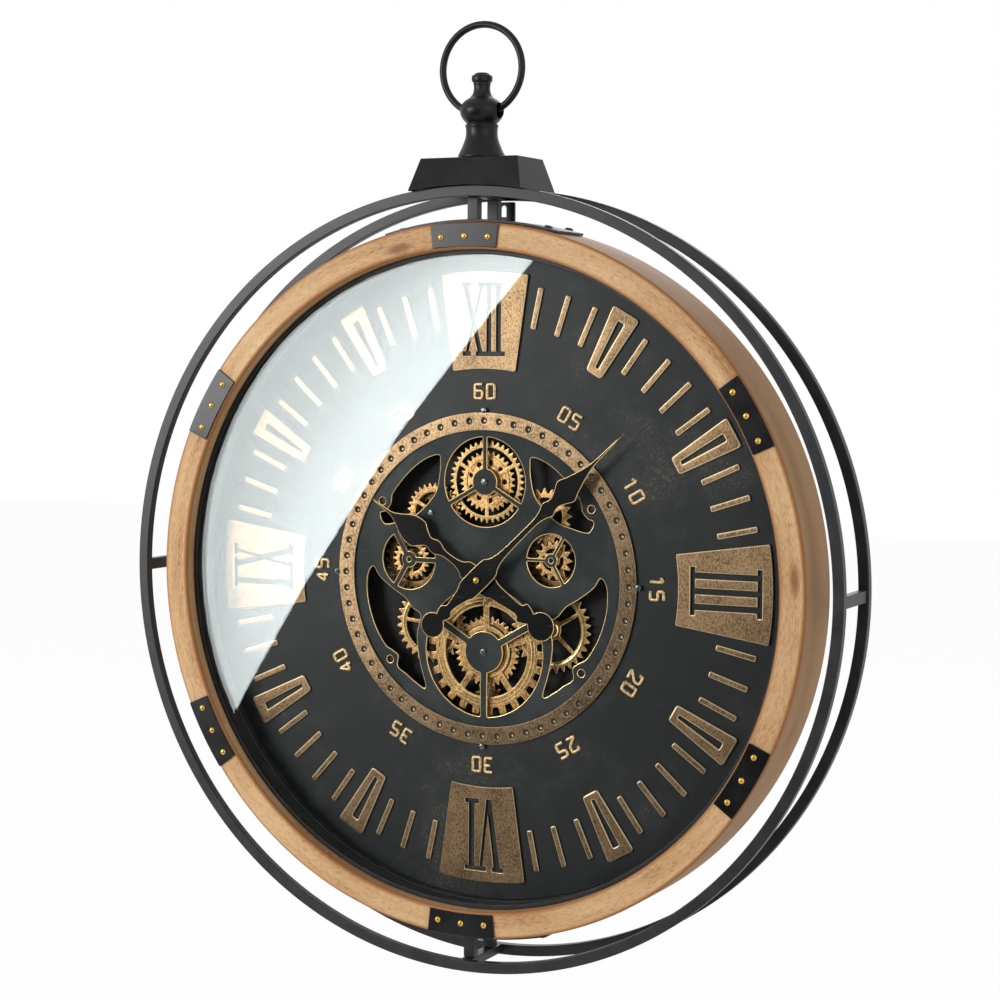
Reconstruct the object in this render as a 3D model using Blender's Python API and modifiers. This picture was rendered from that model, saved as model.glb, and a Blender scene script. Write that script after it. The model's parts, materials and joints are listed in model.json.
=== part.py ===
"""Metal wall clock: two black hoops round a wooden ring with a glazed skeleton dial and turning gears.

Frame: +Z up, the viewer stands on the -Y side, and the origin is on the wall plane, on the back face
of the rear hoop at twelve o'clock. Every piece is modelled about the dial's centre, which is the empty
dial_centre, with y = 0 on the front of the dial. Lengths below are in millimetres.
"""

import math

import bmesh
import bpy
from mathutils import Matrix, Vector

MM = 0.001
GAP = 0.3  # between pieces that touch
FULL_TURN = 2 * math.pi

# Hoops
HOOP_R = 300.0
HOOP_BAR = 8.3
HOOP_DEPTH = 6.9
HOOP_FRONT = -32.7
WALL_PLANE = 32.1
BIG_STEPS = 72

# Struts between the hoops, and the posts that carry the wooden ring
STRUT_WIDTH = 9.0
STRUT_DEPTH = 6.8
POST_WIDTH = 9.0
POST_DEPTH = 7.0
POST_Y = (-19.0, 14.0)  # the front and rear post
STRAP_THICK = 2.0
STRAP_FRONT = -27.0
STRAP_HALF_DEG = {"top": 15.5, "bottom": 14.5}
HANGER_WIDTH = 19.0
HANGER_THICK = 2.5
SLOT_WIDTH = 5.0
SLOT_MARGIN = (4.5, 2.4)  # below and above the slot

# Wooden ring, its corner plates and their nails
RING_GAP = 19.1  # between the hoops and the wooden ring
WOOD_WIDTH = 20.2
WOOD_R = HOOP_R - HOOP_BAR - RING_GAP
WOOD_BORE = WOOD_R - WOOD_WIDTH
WOOD_FRONT = -34.8
WOOD_REAR = 19.2
WOOD_CHAMFER = 2.0
PLATE_COUNT = 6
PLATE_HALF_DEG = 6.05
PLATE_INSET = (1.5, 0.8)  # from the ring's bore, and from its outer wall
PLATE_INNER_R = WOOD_BORE + PLATE_INSET[0]
PLATE_OUTER_R = WOOD_R - PLATE_INSET[1]
PLATE_THICK = 1.2
NAIL_R = 2.5
NAIL_RISE = 1.6
NAIL_SPACING_DEG = 4.33

# Crown box, finial and bail
CROWN_HALF_WIDTH = (47.7, 41.0)
CROWN_HALF_DEPTH = (30.5, 22.0)
CROWN_SKIRT = 4.0  # how far the box reaches below the hoops' crest, and rises above it
CROWN_RISE = 21.3
CROWN_BASE = HOOP_R - CROWN_SKIRT
CROWN_TOP = HOOP_R + CROWN_RISE
CROWN_SHEET = 1.5
BALL_R = 16.8
BALL_HALF_HEIGHT = 11.6
BALL_RISE = 37.0
BAIL_BORE_R = 6.0
BAIL_R = 33.5
BAIL_WIRE = 5.4
BAIL_SEAT = -3.2

# Case: glass, bezel, drum, dial
DRUM_WALL = 2.5
BEZEL_WIDTH = 3.4
BEZEL_THICK = 1.7
GLASS_THICK = 3.0
GLASS_FRONT = -22.6
DIAL_THICK = 2.0
DIAL_OPENING_R = 118.0
# the marks' ends, as shares of the way from the chapter ring to the dial's edge
TICK_BAND = (0.563, 0.830)
BAR_BAND = (0.451, 0.895)
BAR_SLOT_BAND = (0.513, 0.799)
NUMERAL_BAND = (0.277, 0.895)
TICK_WIDTH = 4.0
TICK_RISE = 1.6
BAR_HALF_WIDTH = (7.0, 12.2)
BAR_SLOT_HALF_WIDTH = (2.0, 4.2)
NUMERAL_PLATE_HALF_WIDTH = (26.6, 37.2)
NUMERAL_PLATE_RISE = 2.0
NUMERAL_MARGIN = (9.8, 8.6)  # from the plate's inner and outer edges
SERIF_THICK = 3.5
CHAPTER_INSET = 3.0  # how far the chapter ring hides the joint round the dial's opening
CHAPTER_WIDTH = 13.6
CHAPTER_THICK = 1.6
CHAPTER_R = (DIAL_OPENING_R - CHAPTER_INSET, DIAL_OPENING_R - CHAPTER_INSET + CHAPTER_WIDTH)

# Movement frame: skeleton plate, rear plate, pillars
SKELETON_THICK = 2.0
REAR_PLATE_FRONT = 13.2
REAR_PLATE_THICK = 2.0
REAR_PLATE_R = DIAL_OPENING_R + 8.0
PILLAR_R = 4.0
PILLAR_PLACES = ((90.3, 57.2), (-90.3, 57.2), (83.0, -67.8), (-83.0, -67.8))
PILLAR_HOLE_R = 2.8
EAR_R = 7.6
BACK_PANEL_THICK = 3.0
BACK_PANEL_OPENING_R = 112.0

# Gears: two layers behind the skeleton plate
FRONT_LAYER = (4.0, 7.0)
REAR_LAYER = (8.6, 11.6)
TRAIN_MODULE = 2.0
UPPER_MODULE = 1.54
ARBOR_R = 3.0
PIVOT_R = 1.5
TRAIN_TEETH = {"centre": 25, "left": 29, "right": 32, "mid_left": 24, "mid_right": 22,
               "upper_left": 18, "motor": 10}
UPPER_TEETH = 40
UPPER_PINION_TEETH = 29
SIDE_TEETH = 20
SIDE_PINION_TEETH = 14
GREAT_TEETH = 25
GREAT_R = 50.0
GREAT_PLACE = (0.0, -57.0)
UPPER_PLACE = (0.0, 75.0)
# the direction, in degrees from +X towards +Z, from each wheel to the one that it drives
TRAIN_DIRECTION = {"left": 160.0, "right": 20.4, "mid_left": 107.0, "mid_right": 86.3,
                   "upper_right": 101.7, "motor": -90.0}

# Hands and their movement
MINUTE_ANGLE = 46.5
HOUR_ANGLE = -58.0
HOUR_FRONT = -9.0
MINUTE_FRONT = -12.2
HAND_THICK = 1.0
BUSH_R = 4.6
PIPE_R = 3.2
MINUTE_ARBOR_R = 1.7
MOVEMENT_SIZE = 56.0
MOVEMENT_DEPTH = 13.0
MOVEMENT_BAY = (10.4, 52.0)
CELL_R = 5.1
CELL_LENGTH = 44.0
MOTOR_R = 12.0
MOTOR_LENGTH = 13.5
BATTERY_CASE_SIZE = (66.0, 34.0)
BATTERY_CASE_PLACE = (0.0, 62.0)
LARGE_CELL_R = 6.0
LARGE_CELL_LENGTH = 50.0
CASE_DEPTH = 16.0
CASE_WALL = 1.5
COVER_THICK = 1.4


def bare_scene():
    for old in list(bpy.data.objects):
        bpy.data.objects.remove(old)


def collection(name, hidden):
    made = bpy.data.collections.new(name)
    bpy.context.scene.collection.children.link(made)
    made.hide_render = hidden
    return made


def finish(name, colour, roughness, metallic, alpha=1.0):
    made = bpy.data.materials.new(name)
    made.use_nodes = True
    shader = made.node_tree.nodes["Principled BSDF"]
    shader.inputs["Base Color"].default_value = (*colour, 1.0)
    shader.inputs["Roughness"].default_value = roughness
    shader.inputs["Metallic"].default_value = metallic
    shader.inputs["Alpha"].default_value = alpha
    made.diffuse_color = (*colour, alpha)
    return made


bare_scene()
PARTS = collection("metal_wall_clock", hidden=False)
CUTTERS = collection("cutters", hidden=True)

BLACK_STEEL = finish("black_steel", (0.045, 0.048, 0.052), 0.45, 0.6)
WOOD = finish("oiled_wood", (0.52, 0.31, 0.15), 0.55, 0.0)
BRASS = finish("nail_brass", (0.78, 0.60, 0.22), 0.25, 1.0)
GLASS = finish("clear_glass", (0.85, 0.9, 0.9), 0.05, 0.0, alpha=0.25)
SLATE = finish("slate_paint", (0.040, 0.045, 0.048), 0.5, 0.2)
BRONZE = finish("antique_bronze", (0.50, 0.34, 0.18), 0.38, 0.9)
DARK_BRONZE = finish("dark_bronze", (0.22, 0.15, 0.08), 0.45, 0.9)
GREY_STEEL = finish("grey_steel", (0.33, 0.34, 0.35), 0.35, 0.9)
BOARD = finish("painted_board", (0.06, 0.06, 0.06), 0.8, 0.0)
PLASTIC = finish("black_plastic", (0.025, 0.025, 0.027), 0.5, 0.0)
CELL_WRAP = finish("cell_wrap", (0.22, 0.30, 0.34), 0.4, 0.3)

# The hoops' mid radius at twelve o'clock, on the wall plane, is the origin.
HANG_R = HOOP_R - HOOP_BAR / 2
DIAL_CENTRE = bpy.data.objects.new("dial_centre", None)
DIAL_CENTRE.location = (0, -WALL_PLANE * MM, -HANG_R * MM)
PARTS.objects.link(DIAL_CENTRE)


def placed(name, mesh, material, at=(0, 0, 0), hidden=False):
    """An object whose mesh is in millimetres about `at`, hung on the dial's centre."""
    mesh.transform(Matrix.Scale(MM, 4))
    mesh.materials.clear()
    mesh.materials.append(material)
    made = bpy.data.objects.new(name, mesh)
    made.parent = DIAL_CENTRE
    made.location = Vector(at) * MM
    (CUTTERS if hidden else PARTS).objects.link(made)
    if hidden:
        made.hide_render = True
        made.display_type = "WIRE"
    return made


def smooth(mesh, degrees=35):
    mesh.shade_smooth()
    mesh.set_sharp_from_angle(angle=math.radians(degrees))


def settled(made):
    """The object with its modifiers turned into plain mesh."""
    bpy.context.view_layer.update()
    shape = made.evaluated_get(bpy.context.evaluated_depsgraph_get())
    mesh = bpy.data.meshes.new_from_object(shape)
    tidy = bmesh.new()
    tidy.from_mesh(mesh)
    bmesh.ops.dissolve_limit(tidy, angle_limit=math.radians(0.2), verts=tidy.verts, edges=tidy.edges)
    bmesh.ops.triangulate(tidy, faces=tidy.faces)
    tidy.to_mesh(mesh)
    tidy.free()
    made.modifiers.clear()
    made.data = mesh
    smooth(mesh)
    return made


def combined(made, others, operation):
    for other in others:
        step = made.modifiers.new(operation.lower(), "BOOLEAN")
        step.operation = operation
        step.solver = "EXACT"
        step.object = other
    return settled(made)


def turned(name, material, profile, axis="Y", at=(0, 0, 0), steps=BIG_STEPS, hidden=False):
    """A solid of revolution. The profile is (radius, place along the axis), down the outer side."""
    solid = profile[0][0] == 0
    count = len(profile)
    edges = [(i, (i + 1) % count) for i in range(count - 1 if solid else count)]
    mesh = bpy.data.meshes.new(name)
    mesh.from_pydata([(radius, 0, place) for radius, place in profile], edges, [])
    spun = bpy.data.objects.new(name, mesh)
    CUTTERS.objects.link(spun)
    screw = spun.modifiers.new("spin", "SCREW")
    screw.steps = screw.render_steps = steps
    screw.use_merge_vertices = True
    screw.merge_threshold = 0.0001
    bpy.context.view_layer.update()
    shape = spun.evaluated_get(bpy.context.evaluated_depsgraph_get())
    mesh = bpy.data.meshes.new_from_object(shape)
    bpy.data.objects.remove(spun)
    if axis == "Y":
        mesh.transform(Matrix.Rotation(-math.pi / 2, 4, "X"))
    if axis == "X":
        mesh.transform(Matrix.Rotation(math.pi / 2, 4, "Y"))
    smooth(mesh)
    return placed(name, mesh, material, at, hidden)


def ring(name, material, inner, outer, front, rear, hidden=False, steps=BIG_STEPS):
    return turned(name, material, [(outer, rear), (outer, front), (inner, front), (inner, rear)],
                  steps=steps, hidden=hidden)


def rod(name, material, radius, front, rear, at=(0, 0), steps=16, hidden=False, axis="Y"):
    place = (at[0], 0, at[1]) if axis == "Y" else at
    return turned(name, material, [(0, rear), (radius, rear), (radius, front), (0, front)],
                  at=place, steps=steps, hidden=hidden, axis=axis)


def flat(name, material, loops, front, rear, at=(0, 0), hidden=False):
    """A plate cut from sheet: outlines of (x, z) points, the first the outside, the rest its holes."""
    curve = bpy.data.curves.new(name, "CURVE")
    curve.dimensions = "2D"
    curve.fill_mode = "BOTH"
    curve.extrude = (rear - front) / 2
    for loop in loops:
        spline = curve.splines.new("POLY")
        spline.points.add(len(loop) - 1)
        for point, (x, z) in zip(spline.points, loop):
            point.co = (x, z, 0, 1)
        spline.use_cyclic_u = True
    drawn = bpy.data.objects.new(name, curve)
    CUTTERS.objects.link(drawn)
    bpy.context.view_layer.update()
    shape = drawn.evaluated_get(bpy.context.evaluated_depsgraph_get())
    mesh = bpy.data.meshes.new_from_object(shape)
    bpy.data.objects.remove(drawn)
    mesh.transform(Matrix.Translation((0, (front + rear) / 2, 0)) @ Matrix.Rotation(math.pi / 2, 4, "X"))
    weld = bmesh.new()
    weld.from_mesh(mesh)
    bmesh.ops.remove_doubles(weld, verts=weld.verts, dist=0.001)
    weld.to_mesh(mesh)
    weld.free()
    return placed(name, mesh, material, (at[0], 0, at[1]), hidden)


def block(name, material, low, high, hidden=False):
    """A box between two corners, with its origin at its middle."""
    cube = bmesh.new()
    bmesh.ops.create_cube(cube, size=1)
    middle = (Vector(low) + Vector(high)) / 2
    bmesh.ops.scale(cube, vec=Vector(high) - Vector(low), verts=cube.verts)
    mesh = bpy.data.meshes.new(name)
    cube.to_mesh(mesh)
    cube.free()
    return placed(name, mesh, material, middle, hidden)


def polar(radius, degrees, centre=(0, 0)):
    """A point at a clock angle: degrees from twelve o'clock, clockwise for the viewer."""
    turn = math.radians(degrees)
    return centre[0] + radius * math.sin(turn), centre[1] + radius * math.cos(turn)


def arc(radius, start, end, count, centre=(0, 0)):
    """Points on an arc; start and end are degrees from +X towards +Z."""
    angles = [math.radians(start + (end - start) * i / count) for i in range(count + 1)]
    return [(centre[0] + radius * math.cos(a), centre[1] + radius * math.sin(a)) for a in angles]


def circle(radius, count, centre=(0, 0)):
    return arc(radius, 0, 360, count, centre)[:-1]


def mirrored(points):
    return [(-x, z) for x, z in reversed(points)]


def on_ray(degrees, across, along):
    """A point by its place along the ray at a clock angle, and across it."""
    turn = math.radians(degrees)
    return (along * math.sin(turn) + across * math.cos(turn), along * math.cos(turn) - across * math.sin(turn))


def radial_quad(radii, half_widths, degrees):
    """A tapering bar that points outwards at a clock angle."""
    corners = [(-half_widths[0], radii[0]), (-half_widths[1], radii[1]),
               (half_widths[1], radii[1]), (half_widths[0], radii[0])]
    return [on_ray(degrees, across, radius) for across, radius in corners]


def radial_plate(radii, half_widths, degrees):
    """A tapering plate whose ends are arcs about the dial's centre."""
    points = []
    for radius, half, order in ((radii[1], half_widths[1], 1), (radii[0], half_widths[0], -1)):
        reach = math.degrees(math.asin(half / radius)) * order
        points += [polar(radius, degrees + reach * share) for share in (-1, -0.5, 0, 0.5, 1)]
    return points


def spoke_windows(inner, outer, spokes, width, start, centre=(0, 0), count=6):
    """The openings that straight spokes leave between a hub and a rim."""
    loops = []
    for k in range(spokes):
        here = start + 360 * k / spokes
        after = here + 360 / spokes
        wide = math.degrees(math.asin(width / 2 / outer))
        narrow = math.degrees(math.asin(width / 2 / inner))
        loops.append(arc(outer, here + wide, after - wide, count, centre)
                     + arc(inner, after - narrow, here + narrow, max(2, count // 2), centre))
    return loops


# The two hoops, and the four struts that join them

def hoops():
    ring("front_hoop", BLACK_STEEL, HOOP_R - HOOP_BAR, HOOP_R, HOOP_FRONT, HOOP_FRONT + HOOP_DEPTH)
    ring("rear_hoop", BLACK_STEEL, HOOP_R - HOOP_BAR, HOOP_R, WALL_PLANE - HOOP_DEPTH, WALL_PLANE)


STRUT_INNER_R = HOOP_R - HOOP_BAR
STRUT_OUTER_R = STRUT_INNER_R + STRUT_DEPTH


def struts():
    front = HOOP_FRONT + HOOP_DEPTH + GAP
    rear = WALL_PLANE - HOOP_DEPTH - GAP
    half = STRUT_WIDTH / 2
    for side, degrees in (("top", 0), ("right", 90), ("bottom", 180), ("left", 270)):
        near, far = polar(STRUT_INNER_R, degrees), polar(STRUT_OUTER_R, degrees)
        spread_x = half if degrees % 180 == 0 else 0
        spread_z = half if degrees % 180 else 0
        low = (min(near[0], far[0]) - spread_x, front, min(near[1], far[1]) - spread_z)
        high = (max(near[0], far[0]) + spread_x, rear, max(near[1], far[1]) + spread_z)
        block(f"hoop_strut_{side}", BLACK_STEEL, low, high)


# Crown box: a sheet-steel saddle on top of the hoops

CROWN_Y = (WOOD_FRONT + WOOD_REAR) / 2


def frustum(name, widths, depths, base, top, hidden):
    """A four-sided box whose top is smaller than its base."""
    cube = bmesh.new()
    bmesh.ops.create_cube(cube, size=2)
    for corner in cube.verts:
        upper = corner.co.z > 0
        corner.co.x *= widths[upper]
        corner.co.y *= depths[upper]
        corner.co.z = top if upper else base
    mesh = bpy.data.meshes.new(name)
    cube.to_mesh(mesh)
    cube.free()
    return placed(name, mesh, BLACK_STEEL, (0, CROWN_Y, 0), hidden)


def crown_box():
    crown = frustum("crown_box", CROWN_HALF_WIDTH, CROWN_HALF_DEPTH, CROWN_BASE, CROWN_TOP, hidden=False)
    slope_x, slope_y = ((pair[0] - pair[1]) / (CROWN_TOP - CROWN_BASE)
                        for pair in (CROWN_HALF_WIDTH, CROWN_HALF_DEPTH))
    low, high = CROWN_BASE - 5, CROWN_TOP - CROWN_SHEET
    widths = [CROWN_HALF_WIDTH[0] - CROWN_SHEET - slope_x * (z - CROWN_BASE) for z in (low, high)]
    depths = [CROWN_HALF_DEPTH[0] - CROWN_SHEET - slope_y * (z - CROWN_BASE) for z in (low, high)]
    hollow = frustum("crown_hollow", widths, depths, low, high, hidden=True)
    arch = rod("crown_arch", BLACK_STEEL, HOOP_R + GAP, HOOP_FRONT - 20, WALL_PLANE + 20,
               steps=BIG_STEPS, hidden=True)
    combined(crown, (hollow, arch), "DIFFERENCE")


# Finial: a turned post with a cross bore for the bail

FINIAL_BASE = CROWN_TOP + GAP
BALL_Z = FINIAL_BASE + BALL_RISE
BAIL_AXIS_Z = BALL_Z - 1.3
BAIL_CENTRE_Z = BALL_Z + BAIL_SEAT + BAIL_R


def finial():
    top_side = [(0, 64.8), (4.2, 64.5), (6.4, 63.2), (7.6, 60.6), (7.6, 56.6), (6.6, 54.2), (5.8, 51.8)]
    ball = []
    for step in range(1, 10):
        turn = math.radians(63 - 14 * step)
        ball.append((BALL_R * math.cos(turn), BALL_RISE + BALL_HALF_HEIGHT * math.sin(turn)))
    foot = [(10.8, 25.4), (12.0, 23.8), (11.5, 20.6), (12.4, 16.4), (13.9, 12.4), (15.8, 7.4), (18.0, 3.2),
            (18.0, 0), (0, 0)]
    profile = [(radius, FINIAL_BASE + rise) for radius, rise in top_side + ball + foot]
    post = turned("finial", BLACK_STEEL, profile, axis="Z", at=(0, CROWN_Y, 0), steps=16)
    bore = rod("bail_bore", BLACK_STEEL, BAIL_BORE_R, -BALL_R * 2, BALL_R * 2,
               at=(0, CROWN_Y, BAIL_AXIS_Z), steps=12, hidden=True, axis="X")
    combined(post, (bore,), "DIFFERENCE")


def bail():
    bpy.ops.mesh.primitive_torus_add(major_radius=BAIL_R, minor_radius=BAIL_WIRE / 2,
                                     major_segments=36, minor_segments=6)
    made = bpy.context.object
    mesh = made.data
    bpy.data.objects.remove(made)
    mesh.transform(Matrix.Translation((0, 0, BAIL_CENTRE_Z - BAIL_AXIS_Z)) @ Matrix.Rotation(math.pi / 2, 4, "X"))
    smooth(mesh)
    placed("bail_ring", mesh, BLACK_STEEL, (0, CROWN_Y, BAIL_AXIS_Z))


# Brackets: curved straps on the ring's outer wall, with posts to the struts, and the hanger plate

STRAP_INNER_R = WOOD_R + GAP
STRAP_OUTER_R = STRAP_INNER_R + STRAP_THICK


def bracket(side, sign):
    """The strap of one side; sign is 1 above the ring and -1 below it."""
    half = STRAP_HALF_DEG[side]
    middle = 90 * sign
    loop = arc(STRAP_OUTER_R, middle - half, middle + half, 8) + arc(STRAP_INNER_R, middle + half, middle - half, 8)
    strap = flat(f"{side}_bracket", BLACK_STEEL, [loop], STRAP_FRONT, WOOD_REAR)
    foot, head = sorted((sign * (STRAP_OUTER_R - 1), sign * (STRUT_INNER_R - GAP)))
    added = [block(f"{side}_post_{place}", BLACK_STEEL, (-POST_WIDTH / 2, y - POST_DEPTH / 2, foot),
                   (POST_WIDTH / 2, y + POST_DEPTH / 2, head), hidden=True)
             for place, y in zip(("front", "rear"), POST_Y)]
    if side == "top":
        low = STRAP_OUTER_R - STRAP_THICK + 0.3
        added.append(block("hanger_tab", BLACK_STEEL, (-HANGER_WIDTH / 2, WOOD_REAR - 3, low),
                           (HANGER_WIDTH / 2, WALL_PLANE, STRAP_OUTER_R - 0.4), hidden=True))
    combined(strap, added, "UNION")


HANGER_BASE = STRAP_OUTER_R
HANGER_TOP = STRUT_INNER_R - 3 * GAP
SLOT_BASE = HANGER_BASE + SLOT_MARGIN[0]
SLOT_CREST = HANGER_TOP - SLOT_MARGIN[1]


def hanger_plate():
    half = HANGER_WIDTH / 2
    outline = [(-half, HANGER_BASE), (half, HANGER_BASE), (half, HANGER_TOP), (-half, HANGER_TOP)]
    radius = SLOT_WIDTH / 2
    slot = [(-radius, SLOT_BASE)] + arc(radius, 180, 0, 6, (0, SLOT_CREST - radius)) + [(radius, SLOT_BASE)]
    flat("hanger_plate", BLACK_STEEL, [outline, slot], WALL_PLANE - HANGER_THICK, WALL_PLANE)


# Wooden ring with six black corner plates, each held by three brass nails

def wood_ring():
    cut = WOOD_CHAMFER
    turned("wood_ring", WOOD, [(WOOD_R, WOOD_REAR), (WOOD_R, WOOD_FRONT + cut), (WOOD_R - cut, WOOD_FRONT),
                               (WOOD_BORE + cut, WOOD_FRONT), (WOOD_BORE, WOOD_FRONT + cut),
                               (WOOD_BORE, WOOD_REAR)])


def corner_plates():
    rear = WOOD_FRONT - GAP
    front = rear - PLATE_THICK
    for number in range(PLATE_COUNT):
        clock = number * 360 / PLATE_COUNT
        middle = 90 - clock
        loop = (arc(PLATE_OUTER_R, middle - PLATE_HALF_DEG, middle + PLATE_HALF_DEG, 4)
                + arc(PLATE_INNER_R, middle + PLATE_HALF_DEG, middle - PLATE_HALF_DEG, 4))
        hour = int(clock / 30) or 12
        plate = flat(f"corner_plate_{hour:02d}", BLACK_STEEL, [loop], front, rear)
        heads = []
        for place in (-1, 0, 1):
            x, z = polar((PLATE_INNER_R + PLATE_OUTER_R) / 2 - 1, clock + place * NAIL_SPACING_DEG)
            dome = [(0, front + 0.5), (NAIL_R, front + 0.5), (NAIL_R, front - NAIL_RISE * 0.4),
                    (NAIL_R * 0.55, front - NAIL_RISE), (0, front - NAIL_RISE)]
            heads.append(turned(f"nail_{hour}_{place}", BRASS, dome, at=(x, 0, z), steps=8, hidden=True))
        combined(plate, heads, "UNION")


# Case: black drum in the ring's bore, glass and bezel in front, dial inside, panel at the back

DRUM_R = WOOD_BORE - GAP
DIAL_R = DRUM_R - DRUM_WALL - GAP
GLASS_REAR = GLASS_FRONT + GLASS_THICK
BACK_PANEL_FRONT = REAR_PLATE_FRONT + REAR_PLATE_THICK + GAP


def case():
    ring("bezel_ring", PLASTIC, DRUM_R - BEZEL_WIDTH, DRUM_R, GLASS_FRONT - GAP - BEZEL_THICK, GLASS_FRONT - GAP)
    rod("glass_pane", GLASS, DRUM_R, GLASS_FRONT, GLASS_REAR, steps=BIG_STEPS)
    ring("case_drum", BLACK_STEEL, DRUM_R - DRUM_WALL, DRUM_R, GLASS_REAR + GAP, BACK_PANEL_FRONT - GAP)
    flat("back_panel", BOARD, [circle(DRUM_R, BIG_STEPS), circle(BACK_PANEL_OPENING_R, 36)],
         BACK_PANEL_FRONT, BACK_PANEL_FRONT + BACK_PANEL_THICK)


def banded(shares):
    """Radii at shares of the way from the chapter ring to the dial's edge."""
    return tuple(CHAPTER_R[1] + (DIAL_R - CHAPTER_R[1]) * share for share in shares)


# Roman numerals, cut through their plates. A stroke is its two sides at the foot, then at the head, and feet
# and heads are the serifs' ends, all across the ray that points outwards through the numeral.
NUMERALS = {
    0: {"strokes": ((-5.1, -0.9, -18.7, -14.5), (-16.6, -14.3, -2.8, -0.4), (1.7, 6.0, 1.7, 6.0),
                    (9.8, 14.1, 9.8, 14.1)),
        "feet": ((-18.7, -11.5), (-7.2, 17.7)), "heads": ((-20.0, -11.1), (-6.0, 17.7))},
    3: {"strokes": ((-13.8, -9.4, -13.8, -9.4), (-2.2, 2.2, -2.2, 2.2), (9.4, 13.8, 9.4, 13.8)),
        "feet": ((-17.9, 17.9),), "heads": ((-17.9, 17.9),)},
    6: {"strokes": ((-8.1, -3.6, -16.6, -11.1), (-6.4, -4.0, -0.4, 1.9), (6.4, 11.1, 6.4, 11.1)),
        "feet": ((2.6, 14.5),), "heads": ((-18.7, -9.4), (-3.8, 14.5))},
    9: {"strokes": ((-14.5, -9.8, -14.5, -9.8), (12.4, 17.0, -1.7, 3.0), (0.6, 3.0, 11.9, 14.3)),
        "feet": ((-17.7, 5.5), (9.4, 20.0)), "heads": ((-17.5, 6.0), (8.9, 17.9))},
}
NUMERAL_PLATE_R = banded(NUMERAL_BAND)


def numeral_cutters(hour):
    """The strokes and serifs of one roman numeral, as prisms that cut through its plate."""
    foot, head = NUMERAL_PLATE_R[0] + NUMERAL_MARGIN[0], NUMERAL_PLATE_R[1] - NUMERAL_MARGIN[1]
    numeral = NUMERALS[hour]
    quads = [((a, foot), (b, foot), (d, head), (c, head)) for a, b, c, d in numeral["strokes"]]
    for serifs, low, high in ((numeral["feet"], foot, foot + SERIF_THICK), (numeral["heads"], head - SERIF_THICK, head)):
        quads += [((a, low), (b, low), (b, high), (a, high)) for a, b in serifs]
    return [flat(f"stroke_{hour}_{number}", BRONZE, [[on_ray(hour * 30, *corner) for corner in quad]],
                 -NUMERAL_PLATE_RISE - 1, DIAL_THICK, hidden=True) for number, quad in enumerate(quads)]


def dial():
    plate = flat("dial_plate", SLATE, [circle(DIAL_R, BIG_STEPS), circle(DIAL_OPENING_R, BIG_STEPS)], 0, DIAL_THICK)
    sunk = DIAL_THICK / 2
    added = []
    for minute in range(60):
        near_plate = min(minute % 15, 15 - minute % 15) <= 1
        if minute % 5 and not near_plate:
            loop = radial_quad(banded(TICK_BAND), (TICK_WIDTH / 2, TICK_WIDTH / 2), minute * 6)
            added.append(flat(f"tick_{minute}", BRONZE, [loop], -TICK_RISE, sunk, hidden=True))
    for hour in range(12):
        if hour % 3:
            loops = [radial_quad(banded(BAR_BAND), BAR_HALF_WIDTH, hour * 30),
                     radial_quad(banded(BAR_SLOT_BAND), BAR_SLOT_HALF_WIDTH, hour * 30)]
        else:
            loops = [radial_plate(NUMERAL_PLATE_R, NUMERAL_PLATE_HALF_WIDTH, hour * 30)]
        marker = flat(f"marker_{hour}", BRONZE, loops, -NUMERAL_PLATE_RISE, sunk, hidden=True)
        if hour in NUMERALS:
            combined(marker, numeral_cutters(hour), "DIFFERENCE")
        added.append(marker)
    combined(plate, added, "UNION")


def chapter_ring():
    ring("chapter_ring", BRONZE, CHAPTER_R[0], CHAPTER_R[1], -GAP - CHAPTER_THICK, -GAP)


# Gear train. Each wheel drives the next in its layer; a place follows from the teeth and the module.

def pitch_radius(teeth, module=TRAIN_MODULE):
    return teeth * module / 2


def meshed_place(start, teeth, direction):
    reach = pitch_radius(teeth[0]) + pitch_radius(teeth[1])
    turn = math.radians(direction)
    return start[0] + reach * math.cos(turn), start[1] + reach * math.sin(turn)


def bearing(start, end):
    return math.atan2(end[1] - start[1], end[0] - start[0])


def both_reach(first, first_reach, second, second_reach):
    """The point at both reaches, on the left of the way from the first to the second."""
    apart = math.dist(first, second)
    along = (first_reach ** 2 - second_reach ** 2 + apart ** 2) / (2 * apart)
    aside = math.sqrt(max(first_reach ** 2 - along ** 2, 0))
    turn = bearing(first, second)
    return (first[0] + along * math.cos(turn) - aside * math.sin(turn),
            first[1] + along * math.sin(turn) + aside * math.cos(turn))


def meshed_phase(driver_place, driver_teeth, driver_phase, place, teeth):
    """The turn that puts a gap of this wheel where the driver has a tooth."""
    towards = bearing(driver_place, place)
    share = ((towards - driver_phase) / (FULL_TURN / driver_teeth)) % 1
    return towards + math.pi + (share + 0.5) * FULL_TURN / teeth


DRIVEN_BY = {"left": "centre", "right": "centre", "mid_left": "left", "mid_right": "right", "motor": "centre"}
PLACES = {"centre": GREAT_PLACE}
PHASES = {"centre": 0.0}
for wheel, driver in DRIVEN_BY.items():
    PLACES[wheel] = meshed_place(PLACES[driver], (TRAIN_TEETH[driver], TRAIN_TEETH[wheel]), TRAIN_DIRECTION[wheel])
    PHASES[wheel] = meshed_phase(PLACES[driver], TRAIN_TEETH[driver], PHASES[driver],
                                 PLACES[wheel], TRAIN_TEETH[wheel])
PLACES["upper_left"] = both_reach(
    PLACES["mid_left"], pitch_radius(TRAIN_TEETH["mid_left"]) + pitch_radius(TRAIN_TEETH["upper_left"]),
    UPPER_PLACE, pitch_radius(UPPER_TEETH, UPPER_MODULE) + pitch_radius(UPPER_PINION_TEETH, UPPER_MODULE))
PHASES["upper_left"] = meshed_phase(PLACES["mid_left"], TRAIN_TEETH["mid_left"], PHASES["mid_left"],
                                    PLACES["upper_left"], TRAIN_TEETH["upper_left"])
PLACES["upper"] = UPPER_PLACE
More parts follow.
